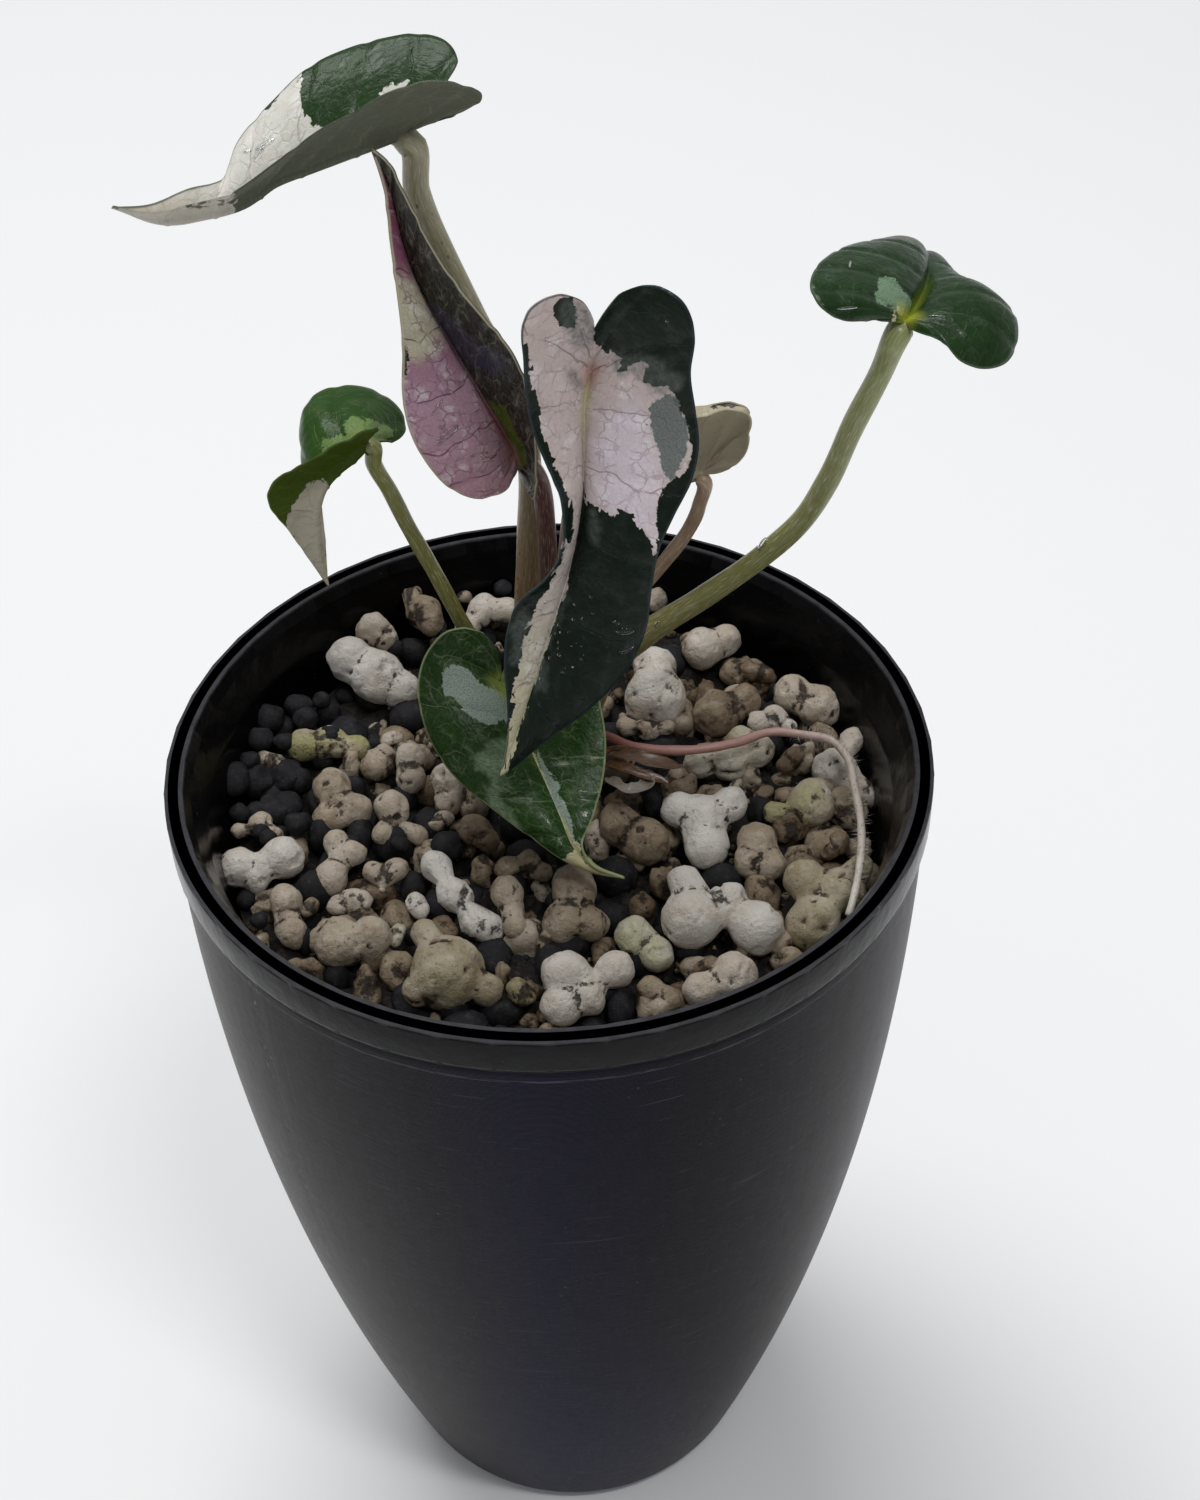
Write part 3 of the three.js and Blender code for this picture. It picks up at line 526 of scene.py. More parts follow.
# Each pumice stone is a few round lumps run together: pixel across, pixel down and radius in pixels of
# each. Then come how pale the stone is, from a dirty brown (0) to a clean white (1), and how green.
STONES = [
    ([(350, 660, 25), (378, 678, 28), (402, 690, 20)], 0.95, 0.0),
    ([(374, 630, 19), (387, 641, 12)], 0.6, 0.0),
    ([(426, 612, 18), (410, 592, 13), (432, 626, 12)], 0.3, 0.0),
    ([(484, 608, 16), (468, 628, 14), (507, 610, 14)], 0.75, 0.0),
    ([(303, 745, 18), (331, 743, 18), (356, 748, 14)], 0.4, 0.8),
    ([(331, 787, 21), (356, 810, 18), (329, 819, 17)], 0.4, 0.0),
    ([(374, 766, 17), (386, 754, 12)], 0.4, 0.0),
    ([(450, 780, 21), (448, 805, 15)], 0.6, 0.0),
    ([(391, 807, 19), (384, 835, 14), (418, 835, 12)], 0.5, 0.0),
    ([(335, 842, 15), (354, 853, 14), (331, 878, 19)], 0.6, 0.0),
    ([(237, 867, 22), (283, 858, 23), (257, 881, 12)], 0.85, 0.0),
    ([(285, 901, 19), (292, 934, 17)], 0.5, 0.0),
    ([(338, 945, 25), (370, 938, 23)], 0.5, 0.1),
    ([(436, 867, 18), (453, 894, 19), (475, 922, 18), (489, 927, 17)], 1.0, 0.0),
    ([(425, 934, 16), (448, 973, 39), (487, 989, 18), (420, 989, 18)], 0.45, 0.25),
    ([(507, 893, 19), (516, 927, 14)], 0.45, 0.0),
    ([(574, 888, 24), (562, 922, 23), (591, 924, 19)], 0.35, 0.0),
    ([(565, 975, 27), (616, 970, 21), (560, 1006, 22), (589, 999, 19)], 0.8, 0.0),
    ([(634, 936, 21), (657, 955, 19)], 0.75, 0.7),
    ([(690, 920, 32), (687, 883, 19), (756, 927, 29), (729, 900, 19)], 0.85, 0.0),
    ([(731, 805, 19), (678, 810, 19), (706, 847, 24), (703, 819, 25)], 0.95, 0.0),
    ([(618, 824, 23), (646, 842, 25)], 0.25, 0.0),
    ([(699, 764, 17), (729, 764, 19), (758, 750, 19), (742, 739, 14)], 0.7, 0.3),
    ([(758, 842, 21), (770, 865, 17), (747, 863, 17)], 0.4, 0.0),
    ([(813, 803, 25), (774, 812, 13)], 0.5, 0.6),
    ([(807, 881, 23), (841, 893, 27), (813, 925, 30), (862, 870, 16)], 0.45, 0.3),
    ([(832, 769, 22), (855, 741, 16), (871, 796, 14), (853, 791, 18)], 0.75, 0.0),
    ([(655, 698, 32), (655, 667, 23)], 0.8, 0.0),
    ([(701, 649, 22), (726, 640, 17)], 0.7, 0.0),
    ([(715, 714, 25), (745, 700, 18)], 0.25, 0.0),
    ([(791, 693, 20), (820, 707, 23)], 0.55, 0.0),
    ([(540, 650, 20), (560, 664, 20), (545, 676, 18)], 0.55, 0.0),
    ([(735, 975, 25), (700, 990, 20)], 0.7, 0.0),
    ([(372, 871, 13), (397, 869, 14)], 0.5, 0.0),
]

# Smaller stones between them, in the same form
SMALL_STONES = [
    ([(411, 757, 17), (411, 780, 16)], 0.65, 0.0),
    ([(388, 742, 9), (396, 740, 8)], 0.6, 0.0),
    ([(338, 905, 12), (352, 901, 13), (365, 900, 9)], 0.7, 0.0),
    ([(392, 603, 12), (388, 614, 9)], 0.6, 0.0),
    ([(239, 831, 10), (261, 823, 11), (276, 834, 9)], 0.5, 0.0),
    ([(507, 868, 14), (529, 862, 13), (544, 872, 10)], 0.3, 0.0),
    ([(474, 829, 17), (488, 842, 12)], 0.15, 0.0),
    ([(658, 598, 10), (651, 606, 7)], 0.55, 0.0),
    ([(752, 669, 13), (768, 676, 10)], 0.1, 0.0),
    ([(414, 901, 10), (421, 912, 8)], 0.85, 0.0),
    ([(607, 703, 9), (600, 712, 7)], 0.4, 0.0),
    ([(625, 727, 12), (648, 731, 12), (668, 727, 10)], 0.45, 0.0),
    ([(796, 757, 12), (786, 764, 9)], 0.1, 0.0),
    ([(712, 966, 12), (700, 972, 9)], 0.15, 0.0),
    ([(650, 989, 14), (671, 999, 12), (655, 1012, 10)], 0.2, 0.0),
    ([(518, 989, 14), (528, 998, 10)], 0.3, 0.4),
    ([(840, 842, 12), (829, 850, 9)], 0.2, 0.0),
    ([(868, 872, 11), (872, 886, 9)], 0.25, 0.0),
    ([(774, 811, 10), (783, 818, 8)], 0.5, 0.4),
    ([(313, 905, 8), (306, 912, 7)], 0.3, 0.0),
    ([(436, 824, 9), (446, 818, 8)], 0.5, 0.0),
    ([(776, 946, 12), (790, 938, 9)], 0.4, 0.0),
    ([(395, 940, 9), (399, 929, 7)], 0.6, 0.3),
    ([(455, 590, 9), (465, 596, 8)], 0.4, 0.0),
    ([(577, 603, 10), (590, 608, 9)], 0.4, 0.0),
    ([(757, 722, 12), (776, 716, 13), (790, 728, 10)], 0.75, 0.0),
    ([(676, 776, 9), (668, 785, 8)], 0.3, 0.0),
    ([(549, 936, 9), (543, 946, 8)], 0.3, 0.0),
]

# How widely the lumps of a stone blend and how much their radii are reduced, both in millimetres, and how
# far a lump drops for each millimetre that it lies nearer the front
STONE_BLEND = 0.45
STONE_SHRINK = 0.2
STONE_SLOPE = 0.445

# Loose black beads of clay: pixel and radius in millimetres
LOOSE_BEADS = [
    ((231, 779), 2.4), ((297, 823), 1.6), ((261, 831), 1.1), ((268, 838), 1.1), ((268, 717), 2.1),
    ((299, 706), 1.8), ((305, 718), 1.6), ((260, 739), 1.7), ((249, 760), 1.4), ((259, 920), 1.1),
    ((446, 846), 1.9), ((417, 586), 1.3), ((375, 636), 1.2), ((503, 588), 1.3), ((330, 735), 1.4),
    ((240, 812), 1.3), ((284, 741), 1.3), ((322, 700), 1.2), ((216, 800), 1.2), ((395, 648), 1.2),
    ((420, 612), 1.6), ((437, 628), 1.4), ((352, 842), 1.0), ((400, 844), 1.1), ((604, 993), 1.2),
]

# Water lying on leaves and stalks: pixel, half-length, half-width, both in millimetres, and turn in degrees
DROPS = {
    "leaf_a": [((262, 143), 1.3, 0.28, 25), ((256, 151), 0.9, 0.2, 40), ((246, 149), 0.5, 0.2, 20)],
    "leaf_b": [((440, 410), 1.1, 0.2, 50), ((450, 434), 1.5, 0.5, 30), ((482, 455), 1.2, 0.2, 0),
               ((488, 462), 1.4, 0.25, 5), ((512, 462), 0.6, 0.2, 70)],
    "leaf_c": [((625, 635), 1.0, 0.42, 5), ((628, 652), 0.9, 0.45, 30), ((619, 623), 0.4, 0.2, -20),
               ((592, 617), 0.25, 0.15, 0), ((570, 621), 0.25, 0.2, 0), ((668, 322), 0.2, 0.2, 0)],
    "leaf_d": [((735, 430), 0.6, 0.5, 30)],
    "leaf_e": [((852, 262), 0.9, 0.12, 80), ((935, 313), 0.9, 0.14, -15), ((848, 311), 1.3, 0.14, -5)],
    "leaf_g": [((470, 645), 0.3, 0.2, 80), ((590, 760), 0.25, 0.2, 0), ((461, 643), 0.2, 0.2, 0)],
    "petiole_e": [((760, 543), 0.9, 0.6, 30), ((655, 625), 0.5, 0.35, 60)],
}
MIST = {"leaf": "leaf_c", "middle": (561, 645), "spread": (14, 19), "count": 34, "radius": (0.08, 0.2)}

# The root's path: pixels across and down, and height
ROOT_PATH = [
    (603, 735, 116.5), (640, 748, 118.2), (690, 750, 118.4), (735, 743, 118.5), (772, 732, 118.4),
    (805, 735, 118.3), (832, 741, 118.1), (846, 755, 118), (854, 785, 117.8), (861, 825, 117.6),
    (859, 870, 117.6), (853, 900, 117.2), (848, 918, 116),
]
ROOT_RADIUS = 0.55
HAIR_COUNT = 420
HAIR_RADIUS = 0.035

# The random numbers that the noise is made from, the same in every run
RANDOM = np.random.default_rng(11).uniform(-1, 1, 4096)


def linear(text):
    """The colour #rrggbb as the linear red, green, blue and alpha that a shader takes."""
    shown = np.array([int(text[i:i + 2], 16) for i in (1, 3, 5)]) / 255
    light = np.where(shown <= 0.04045, shown / 12.92, ((shown + 0.055) / 1.055) ** 2.4)
    return (*light.tolist(), 1.0)


def smoothstep(value, low, high):
    """0 below low, 1 above high, and a smooth cubic between."""
    share = np.clip((value - low) / (high - low), 0, 1)
    return share * share * (3 - 2 * share)


def value_noise(points, seed=0):
    """Smooth noise from -1 to 1: fixed random numbers at the corners of unit cells, blended by cubics."""
    cell = np.floor(points).astype(np.int64)
    part = points - cell
    blend = part * part * (3 - 2 * part)
    total = np.zeros(len(points))
    for corner in np.ndindex(2, 2, 2):
        at = cell + corner
        mixed = (at[:, 0] * 73856093) ^ (at[:, 1] * 19349663) ^ (at[:, 2] * 83492791) ^ (seed * 2654435)
        weight = np.prod(np.where(corner, blend, 1 - blend), axis=1)
        total += weight * RANDOM[mixed & 4095]
    return total


def fractal(points, seed, octaves=3):
    """Value noise summed over octaves, each twice as fine and half as strong."""
    return sum(value_noise(points * 2 ** k, seed + k) / 2 ** k for k in range(octaves))


def unit(vectors):
    return vectors / np.maximum(np.linalg.norm(vectors, axis=-1, keepdims=True), 1e-12)


# The camera's own axes: forward, right and up
FORWARD = np.array([0, np.cos(CAMERA_DOWN), -np.sin(CAMERA_DOWN)])
LEVEL_UP = np.array([0, np.sin(CAMERA_DOWN), np.cos(CAMERA_DOWN)])
SIDEWAYS = np.array([1.0, 0, 0])
RIGHT = np.cos(CAMERA_ROLL) * SIDEWAYS + np.sin(CAMERA_ROLL) * LEVEL_UP
UP = np.cos(CAMERA_ROLL) * LEVEL_UP - np.sin(CAMERA_ROLL) * SIDEWAYS


def to_pixels(points):
    """Where points in millimetres show in the photograph, and how deep they lie."""
    away = points - CAMERA_AT
    depth = away @ FORWARD
    across = IMAGE[0] / 2 + FOCAL_PIXELS * (away @ RIGHT) / depth
    down = IMAGE[1] / 2 - FOCAL_PIXELS * (away @ UP) / depth
    return np.stack([across, down], axis=-1), depth


def sight_line(across, down):
    """The direction in which the camera sees a pixel: ahead, and across and up by the pixel's place."""
    right = RIGHT * (across - IMAGE[0] / 2)
    up = UP * (IMAGE[1] / 2 - down)
    return FORWARD + (right + up) / FOCAL_PIXELS


def on_level(pixel, height):
    """The point of a horizontal plane that a pixel of the photograph shows."""
    ray = sight_line(*pixel)
    return CAMERA_AT + ray * (height - CAMERA_AT[2]) / ray[2]


def at_depth(points):
    """The points that pixels of the photograph show at given distances behind the pots' axis."""
    across, down, depth = np.array(points, float).T[:, :, None]
    ray = sight_line(across, down)
    return CAMERA_AT + ray * (depth - CAMERA_AT[1]) / ray[:, 1:2]


def inside_by(points, outline):
    """Signed distance from points to a closed outline, positive inside: the least distance to its sides,
    with the sign from how many sides a level ray crosses."""
    start = np.array(outline, float)
    end = np.roll(start, -1, axis=0)
    side = end - start
    away = points[:, None, :] - start
    share = np.clip((away * side).sum(-1) / (side * side).sum(-1), 0, 1)
    distance = np.linalg.norm(away - share[..., None] * side, axis=-1).min(axis=1)
    spans = (start[:, 1] > points[:, None, 1]) != (end[:, 1] > points[:, None, 1])
    rise = np.where(side[:, 1] == 0, 1, side[:, 1])
    crossing = start[:, 0] + side[:, 0] * away[..., 1] / rise
    crosses = spans & (points[:, None, 0] < crossing)
    return np.where(crosses.sum(axis=1) % 2 == 1, distance, -distance)


def smooth_curve(points, shares):
    """A curve through points at shares 0 to 1 of its segments: cubic Hermite pieces on knots a chord apart,
    each with the three-point tangent."""
    points = np.array(points, float)
    chord = np.linalg.norm(np.diff(points, axis=0), axis=1)[:, None]
    slope = np.diff(points, axis=0) / chord
    inner = (slope[:-1] * chord[1:] + slope[1:] * chord[:-1]) / (chord[1:] + chord[:-1])
    tangent = np.vstack([slope[:1], inner, slope[-1:]])
    at = np.clip(np.asarray(shares, float) * len(chord), 0, len(chord) - 1e-6)
    piece = at.astype(int)
    x = (at - piece)[:, None]
    h = chord[piece]
    early = (2 * x ** 3 - 3 * x ** 2 + 1) * points[piece] + (x ** 3 - 2 * x ** 2 + x) * h * tangent[piece]
    late = (3 * x ** 2 - 2 * x ** 3) * points[piece + 1] + (x ** 3 - x ** 2) * h * tangent[piece + 1]
    return early + late


def even_curve(points, count):
    """The same curve at count points spaced evenly along its length."""
    fine = smooth_curve(points, np.linspace(0, 1, 40 * len(points)))
    run = np.concatenate([[0], np.cumsum(np.linalg.norm(np.diff(fine, axis=0), axis=1))])
    wanted = np.linspace(0, run[-1], count)
    return np.stack([np.interp(wanted, run, fine[:, axis]) for axis in range(3)], axis=-1)


def grid_triangles(rows, columns, wrap=False):
    """Triangles between neighbours of a grid of rows x columns points, joined round if wrap is set."""
    index = np.arange(rows * columns).reshape(rows, columns)
    if wrap:
        index = np.hstack([index, index[:, :1]])
    a, b = index[:-1, :-1].ravel(), index[1:, :-1].ravel()
    c, d = index[1:, 1:].ravel(), index[:-1, 1:].ravel()
    return np.vstack([np.stack([a, b, c], -1), np.stack([a, c, d], -1)])


def merged(points, triangles):
    """Points that coincide made one, and triangles that lose a corner by it left out. Also says which
    original corner each kept triangle had, for coordinates that belong to corners."""
    rounded = np.round(points * 2000).astype(np.int64)
    _, first, back = np.unique(rounded, axis=0, return_index=True, return_inverse=True)
    joined = back.ravel()[triangles]
    a, b, c = joined.T
    whole = (a != b) & (b != c) & (c != a)
    return points[first], joined[whole], triangles[whole], first


def add_piece(name, points, triangles, finish, corner_maps=None, attributes=None):
    """A smooth-shaded mesh object in metres. corner_maps are UV maps with a pair for each corner of each
    triangle, and attributes have a number or three for each point."""
    mesh = bpy.data.meshes.new(name)
    mesh.from_pydata((points * MM).tolist(), [], triangles.tolist())
    for label, pairs in (corner_maps or {}).items():
        layer = mesh.uv_layers.new(name=label)
        layer.data.foreach_set("uv", pairs.astype(np.float32).ravel())
    for label, values in (attributes or {}).items():
        vector = values.ndim == 2
        layer = mesh.attributes.new(label, "FLOAT_VECTOR" if vector else "FLOAT", "POINT")
        layer.data.foreach_set("vector" if vector else "value", values.astype(np.float32).ravel())
    mesh.shade_smooth()
    mesh.materials.append(finish)
    piece = bpy.data.objects.new(name, mesh)
    bpy.context.scene.collection.objects.link(piece)
    return piece


def place_piece(piece, slot=None, nodes=()):
    """Every piece rides on the one body. The slot argument is not used."""
    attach(piece, "root")
    if nodes:
        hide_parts(*nodes)
    return piece


class Wire:
    """A value in a shader. Python's operators on it add the Math nodes that work them out."""

    def __init__(self, paint, socket):
        self.paint = paint
        self.socket = socket

    def math(self, operation, *others):
        """The operation on this value and any others."""
        return self.paint.math(operation, self, *others)

    def __add__(self, other):
        return self.math("ADD", other)

    def __sub__(self, other):
        return self.math("SUBTRACT", other)

    def __rsub__(self, other):
        return self.paint.math("SUBTRACT", other, self)

    def __mul__(self, other):
        return self.math("MULTIPLY", other)

    __radd__ = __add__
    __rmul__ = __mul__


class Paint:
    """A material on the Principled shader, with constants set on the shader's own sockets."""

    def __init__(self, name, constants=None):
        self.material = bpy.data.materials.new(name)
        self.material.use_nodes = True
        self.tree = self.material.node_tree
        self.shader = self.tree.nodes["Principled BSDF"]
        self.wear({"Roughness": 0.5, "Specular IOR Level": 0.5, **(constants or {})})

    def node(self, kind, settings=None, inputs=None, output=0):
        """Adds a node, with its settings first and then the values or wires of its sockets."""
        made = self.tree.nodes.new(kind)
        for label, value in (settings or {}).items():
            if label == "stops":
                self.set_stops(made.color_ramp.elements, value)
            else:
                setattr(made, label, value)
        for label, value in (inputs or {}).items():
            self.feed(made.inputs[label], value)
        return Wire(self, made.outputs[output])

    def math(self, operation, *values):
        return self.node("ShaderNodeMath", {"operation": operation}, dict(enumerate(values)))

    def set_stops(self, elements, stops):
        while len(elements) < len(stops):
            elements.new(1.0)
        for element, (position, shade) in zip(elements, stops):
            element.position = position
            element.color = linear(shade)

    def feed(self, socket, value):
        if isinstance(value, Wire):
            self.tree.links.new(value.socket, socket)
        else:
            socket.default_value = value

    def wear(self, sockets):
        """Sets or links the shader's own sockets."""
        for label, value in sockets.items():
            self.feed(self.shader.inputs[label], value)

    def place(self):
        """Object coordinates in millimetres."""
        return self.scaled(self.node("ShaderNodeTexCoord", output=3), (1 / MM,) * 3)

    def scaled(self, vector, factors):
        settings = {"operation": "MULTIPLY"}
        return self.node("ShaderNodeVectorMath", settings, {0: vector, 1: factors})

    def parts(self, vector):
        """The x, y and z of a vector."""
        split = self.tree.nodes.new("ShaderNodeSeparateXYZ")
        self.feed(split.inputs[0], vector)
        return [Wire(self, socket) for socket in split.outputs]

    def map(self, label):
        return self.node("ShaderNodeUVMap", {"uv_map": label})

    def value(self, label):
        return self.node("ShaderNodeAttribute", {"attribute_name": label}, output=2)

    def vector(self, label):
        return self.node("ShaderNodeAttribute", {"attribute_name": label}, output=1)

    def noise(self, vector, scale, detail=2.0, roughness=0.5):
        inputs = {"Vector": vector, "Scale": scale, "Detail": detail, "Roughness": roughness}
        return self.node("ShaderNodeTexNoise", None, inputs)

    def cells(self, vector, scale, feature="F1", output=0):
        settings = {"feature": feature}
        return self.node("ShaderNodeTexVoronoi", settings, {"Vector": vector, "Scale": scale}, output)

    def warped(self, vector, scale, amount):
        """The same place pushed about by noise, by up to half the amount each way."""
        push = self.node("ShaderNodeTexNoise", None, {"Vector": vector, "Scale": scale}, output=1)
        push = self.node("ShaderNodeVectorMath", {"operation": "SUBTRACT"}, {0: push, 1: (0.5, 0.5, 0.5)})
        push = self.scaled(push, (2 * amount,) * 3)
        return self.node("ShaderNodeVectorMath", {"operation": "ADD"}, {0: vector, 1: push})

    def step(self, value, low, high):
        """0 below low, 1 above high and smooth between; low may be the higher of the two."""
        settings = {"interpolation_type": "SMOOTHSTEP"}
        return self.node("ShaderNodeMapRange", settings, {0: value, 1: low, 2: high})

    def ramp(self, value, stops):
        return self.node("ShaderNodeValToRGB", {"stops": stops}, {0: value})

    def mix(self, share, first, second, blend="MIX"):
        settings = {"data_type": "RGBA", "blend_type": blend}
        return self.node("ShaderNodeMix", settings, {0: share, 6: first, 7: second}, output=2)

    def bump(self, height, distance=1.0):
        """A relief whose height is in millimetres."""
        inputs = {"Strength": 1.0, "Distance": distance * MM, "Height": height}
        self.wear({"Normal": self.node("ShaderNodeBump", None, inputs)})
        return self.material


# A leaf's grid: rows on its lobe and on the rest, rows from one side vein to the next, and columns from the
# midrib to the margin
LOBE_ROWS = 48
BLADE_ROWS = 96
VEIN_ROWS = 16
LEAF_COLUMNS = 30


def leaf_half(leaf, side):
    """One half of a leaf as a grid of points. Rows of the lobe start at the junction, and the rest start
    further and further along the midrib; each ends on the margin and arches between the two:
    P = start + j out + 4 j (1 - j) bulge |out| normal, with j from 0 at the midrib to 1 at the margin."""
    midrib = at_depth(leaf["midrib"])
    margin = at_depth(leaf["right" if side else "left"])
    row = np.arange(LOBE_ROWS + BLADE_ROWS + 1)
    along = (row - LOBE_ROWS) / BLADE_ROWS
    turn = leaf["turn"][side] / (len(margin) - 1)
    share = np.where(along < 0, turn * row / LOBE_ROWS, turn + (1 - turn) * along)
    on_rib = np.clip(along, 0, 1)
    start = smooth_curve(midrib, on_rib)
    ahead = smooth_curve(midrib, np.clip(on_rib + 0.002, 0, 1))
    behind = smooth_curve(midrib, np.clip(on_rib - 0.002, 0, 1))
    out = smooth_curve(margin, share) - start
    width = np.linalg.norm(out, axis=1)
    normal = unit(np.cross(ahead - behind, out))
    arch = (leaf["bulge"][side] * (-1 if side else 1) * width)[:, None] * normal
    j = np.linspace(0, 1, LEAF_COLUMNS + 1)[None, :, None] ** 1.25
    points = start[:, None] + j * out[:, None] + 4 * j * (1 - j) * arch[:, None]
    return points, along, j[0, :, 0], width


def leaf_maps(points, along, j, width, side):
    """Coordinates for the leaf's markings, in millimetres where they are lengths: how far along and
    across the blade a corner lies, how many side veins lie before it and how far it is from the margin,
    its shares along and across, and how far apart the side veins are and how far the junction is."""
    rows = np.arange(len(along))
    spacing = np.linalg.norm(np.gradient(points, axis=0), axis=2)
    run = np.cumsum(spacing[:, LEAF_COLUMNS // 2])
    across = j[None, :] * width[:, None]
    sign = -1 if side else 1
    spread = np.ones_like(across)
    from_junction = np.linalg.norm(points - points[0, 0], axis=2)
    return {
        "flat": np.stack([run[:, None] * spread, sign * across], axis=-1),
        "veins": np.stack([rows[:, None] / VEIN_ROWS * spread, width[:, None] - across], axis=-1),
        "shares": np.stack([(along[:, None] + 1) / 2 * spread, j[None, :] * spread], axis=-1),
        "reach": np.stack([spacing * VEIN_ROWS, from_junction], axis=-1),
    }


def marked(pixels, marks):
    """How far inside dark tissue, and a sage, cool or smoky patch (some partly painted sheen), each point of
    a half lies, in mm.
    """
    far = 30.0
    fields = {}
    for kind in ("dark", "pale", "sage", "blush", "smoke"):
        found = [inside_by(pixels, outline) / PIXELS_PER_MM for outline in marks.get(kind, [])]
        fields[kind] = np.max(found, axis=0) if found else np.full(len(pixels), -far)
    dark = -fields["pale"] if marks["tissue"] == "dark" else fields["dark"]
    return dark, fields["sage"], fields["blush"], fields["smoke"]


def vertex_normals(points, triangles):
    """Each point's normal, as the sum of its triangles' normals by area."""
    a, b, c = (points[triangles[:, k]] for k in range(3))
    face = np.cross(b - a, c - a)
    total = np.zeros_like(points)
    for corner in range(3):
        np.add.at(total, triangles[:, corner], face)
    return unit(total)


def free_edges(triangles):
    """The directed edges that only one triangle has."""
    edges = np.vstack([triangles[:, [0, 1]], triangles[:, [1, 2]], triangles[:, [2, 0]]])
    count = edges.max() + 1
    code = edges[:, 0] * count + edges[:, 1]
    back = edges[:, 1] * count + edges[:, 0]
    return edges[~np.isin(code, back)]


def leaf_piece(letter):
    """A leaf as a closed sheet: its two halves joined along the midrib, quilted a little between the side
    veins, then thickened to both sides and closed along the rim. The rib stands out underneath."""
    leaf = LEAVES[letter]
    points, triangles, maps = [], [], {"flat": [], "veins": [], "shares": [], "reach": []}
    fields = []
    for side in (0, 1):
        grid, along, j, width = leaf_half(leaf, side)
        offset = sum(len(p) for p in points)
        faces = grid_triangles(*grid.shape[:2])
        triangles.append(faces[:, ::-1] + offset if side else faces + offset)
        for label, pairs in leaf_maps(grid, along, j, width, side).items():
            maps[label].append(pairs.reshape(-1, 2))
        flat_points = grid.reshape(-1, 3)
        pixels, _ = to_pixels(flat_points)
        fields.append(np.stack(marked(pixels, MARKS[letter]["right" if side else "left"]), axis=-1))
        points.append(flat_points)
    maps = {label: np.vstack(pairs) for label, pairs in maps.items()}
    sheet, faces, corners, first = merged(np.vstack(points), np.vstack(triangles))
    dark, sage, cool, smoke = np.vstack(fields)[first].T

    across = np.abs(maps["flat"][first, 1])
    phase, to_margin = maps["veins"][first].T
    to_vein = np.abs(phase - np.round(phase)) * maps["reach"][first, 0]
    along, j = maps["shares"][first].T
    normal = vertex_normals(sheet, faces)
    tip = 1 - smoothstep(along, 0.88, 1.0)
    quilt = 0.16 * smoothstep(to_vein, 0.0, 1.1) * smoothstep(across, 0.3, 2.0) * tip
    groove = 0.22 * np.exp(-((across / 0.55) ** 2)) * smoothstep(along, 0.46, 0.56) * tip
    wave = 0.3 * value_noise(sheet / 5.5, ord(letter)) * j ** 2 * tip * smoothstep(to_margin, -1, 2)
    sheet = sheet + normal * (quilt - groove + wave)[:, None]
    normal = vertex_normals(sheet, faces)
    half = 0.2 - 0.08 * smoothstep(j, 0.5, 1.0)
    rib = 0.42 * np.exp(-((across / 0.5) ** 2)) * smoothstep(along, 0.44, 0.52) * tip
    side_ribs = 0.1 * np.exp(-((to_vein / 0.22) ** 2)) * (1 - smoothstep(j, 0.5, 0.95)) * tip
    top = sheet + normal * half[:, None]
    bottom = sheet - normal * (half + rib + side_ribs)[:, None]

    count = len(sheet)
    rim = free_edges(faces)
    start, end = rim.T
    rim_faces = np.vstack([np.stack([end, start, start + count], -1),
                           np.stack([end, start + count, end + count], -1)])
    all_faces = np.vstack([faces, faces[:, ::-1] + count, rim_faces])
    all_corners = np.vstack([corners, corners[:, ::-1], first[rim_faces % count]])
    both = {label: pairs[all_corners.ravel()] for label, pairs in maps.items()}
    under = np.concatenate([np.zeros(count), np.ones(count)])
    attributes = {"under": under, "dark": np.tile(dark, 2), "sage": np.tile(sage, 2),
                  "cool": np.tile(cool, 2), "smoke": np.tile(smoke, 2)}
    piece = add_piece(f"blade_{letter}", np.vstack([top, bottom]), all_faces, leaf_finish(letter), both,
                      attributes)
    place_piece(piece, "leaf_pale" if letter in "bcd" else "leaf_green", [f"leaf_{letter}"])
    return top, normal


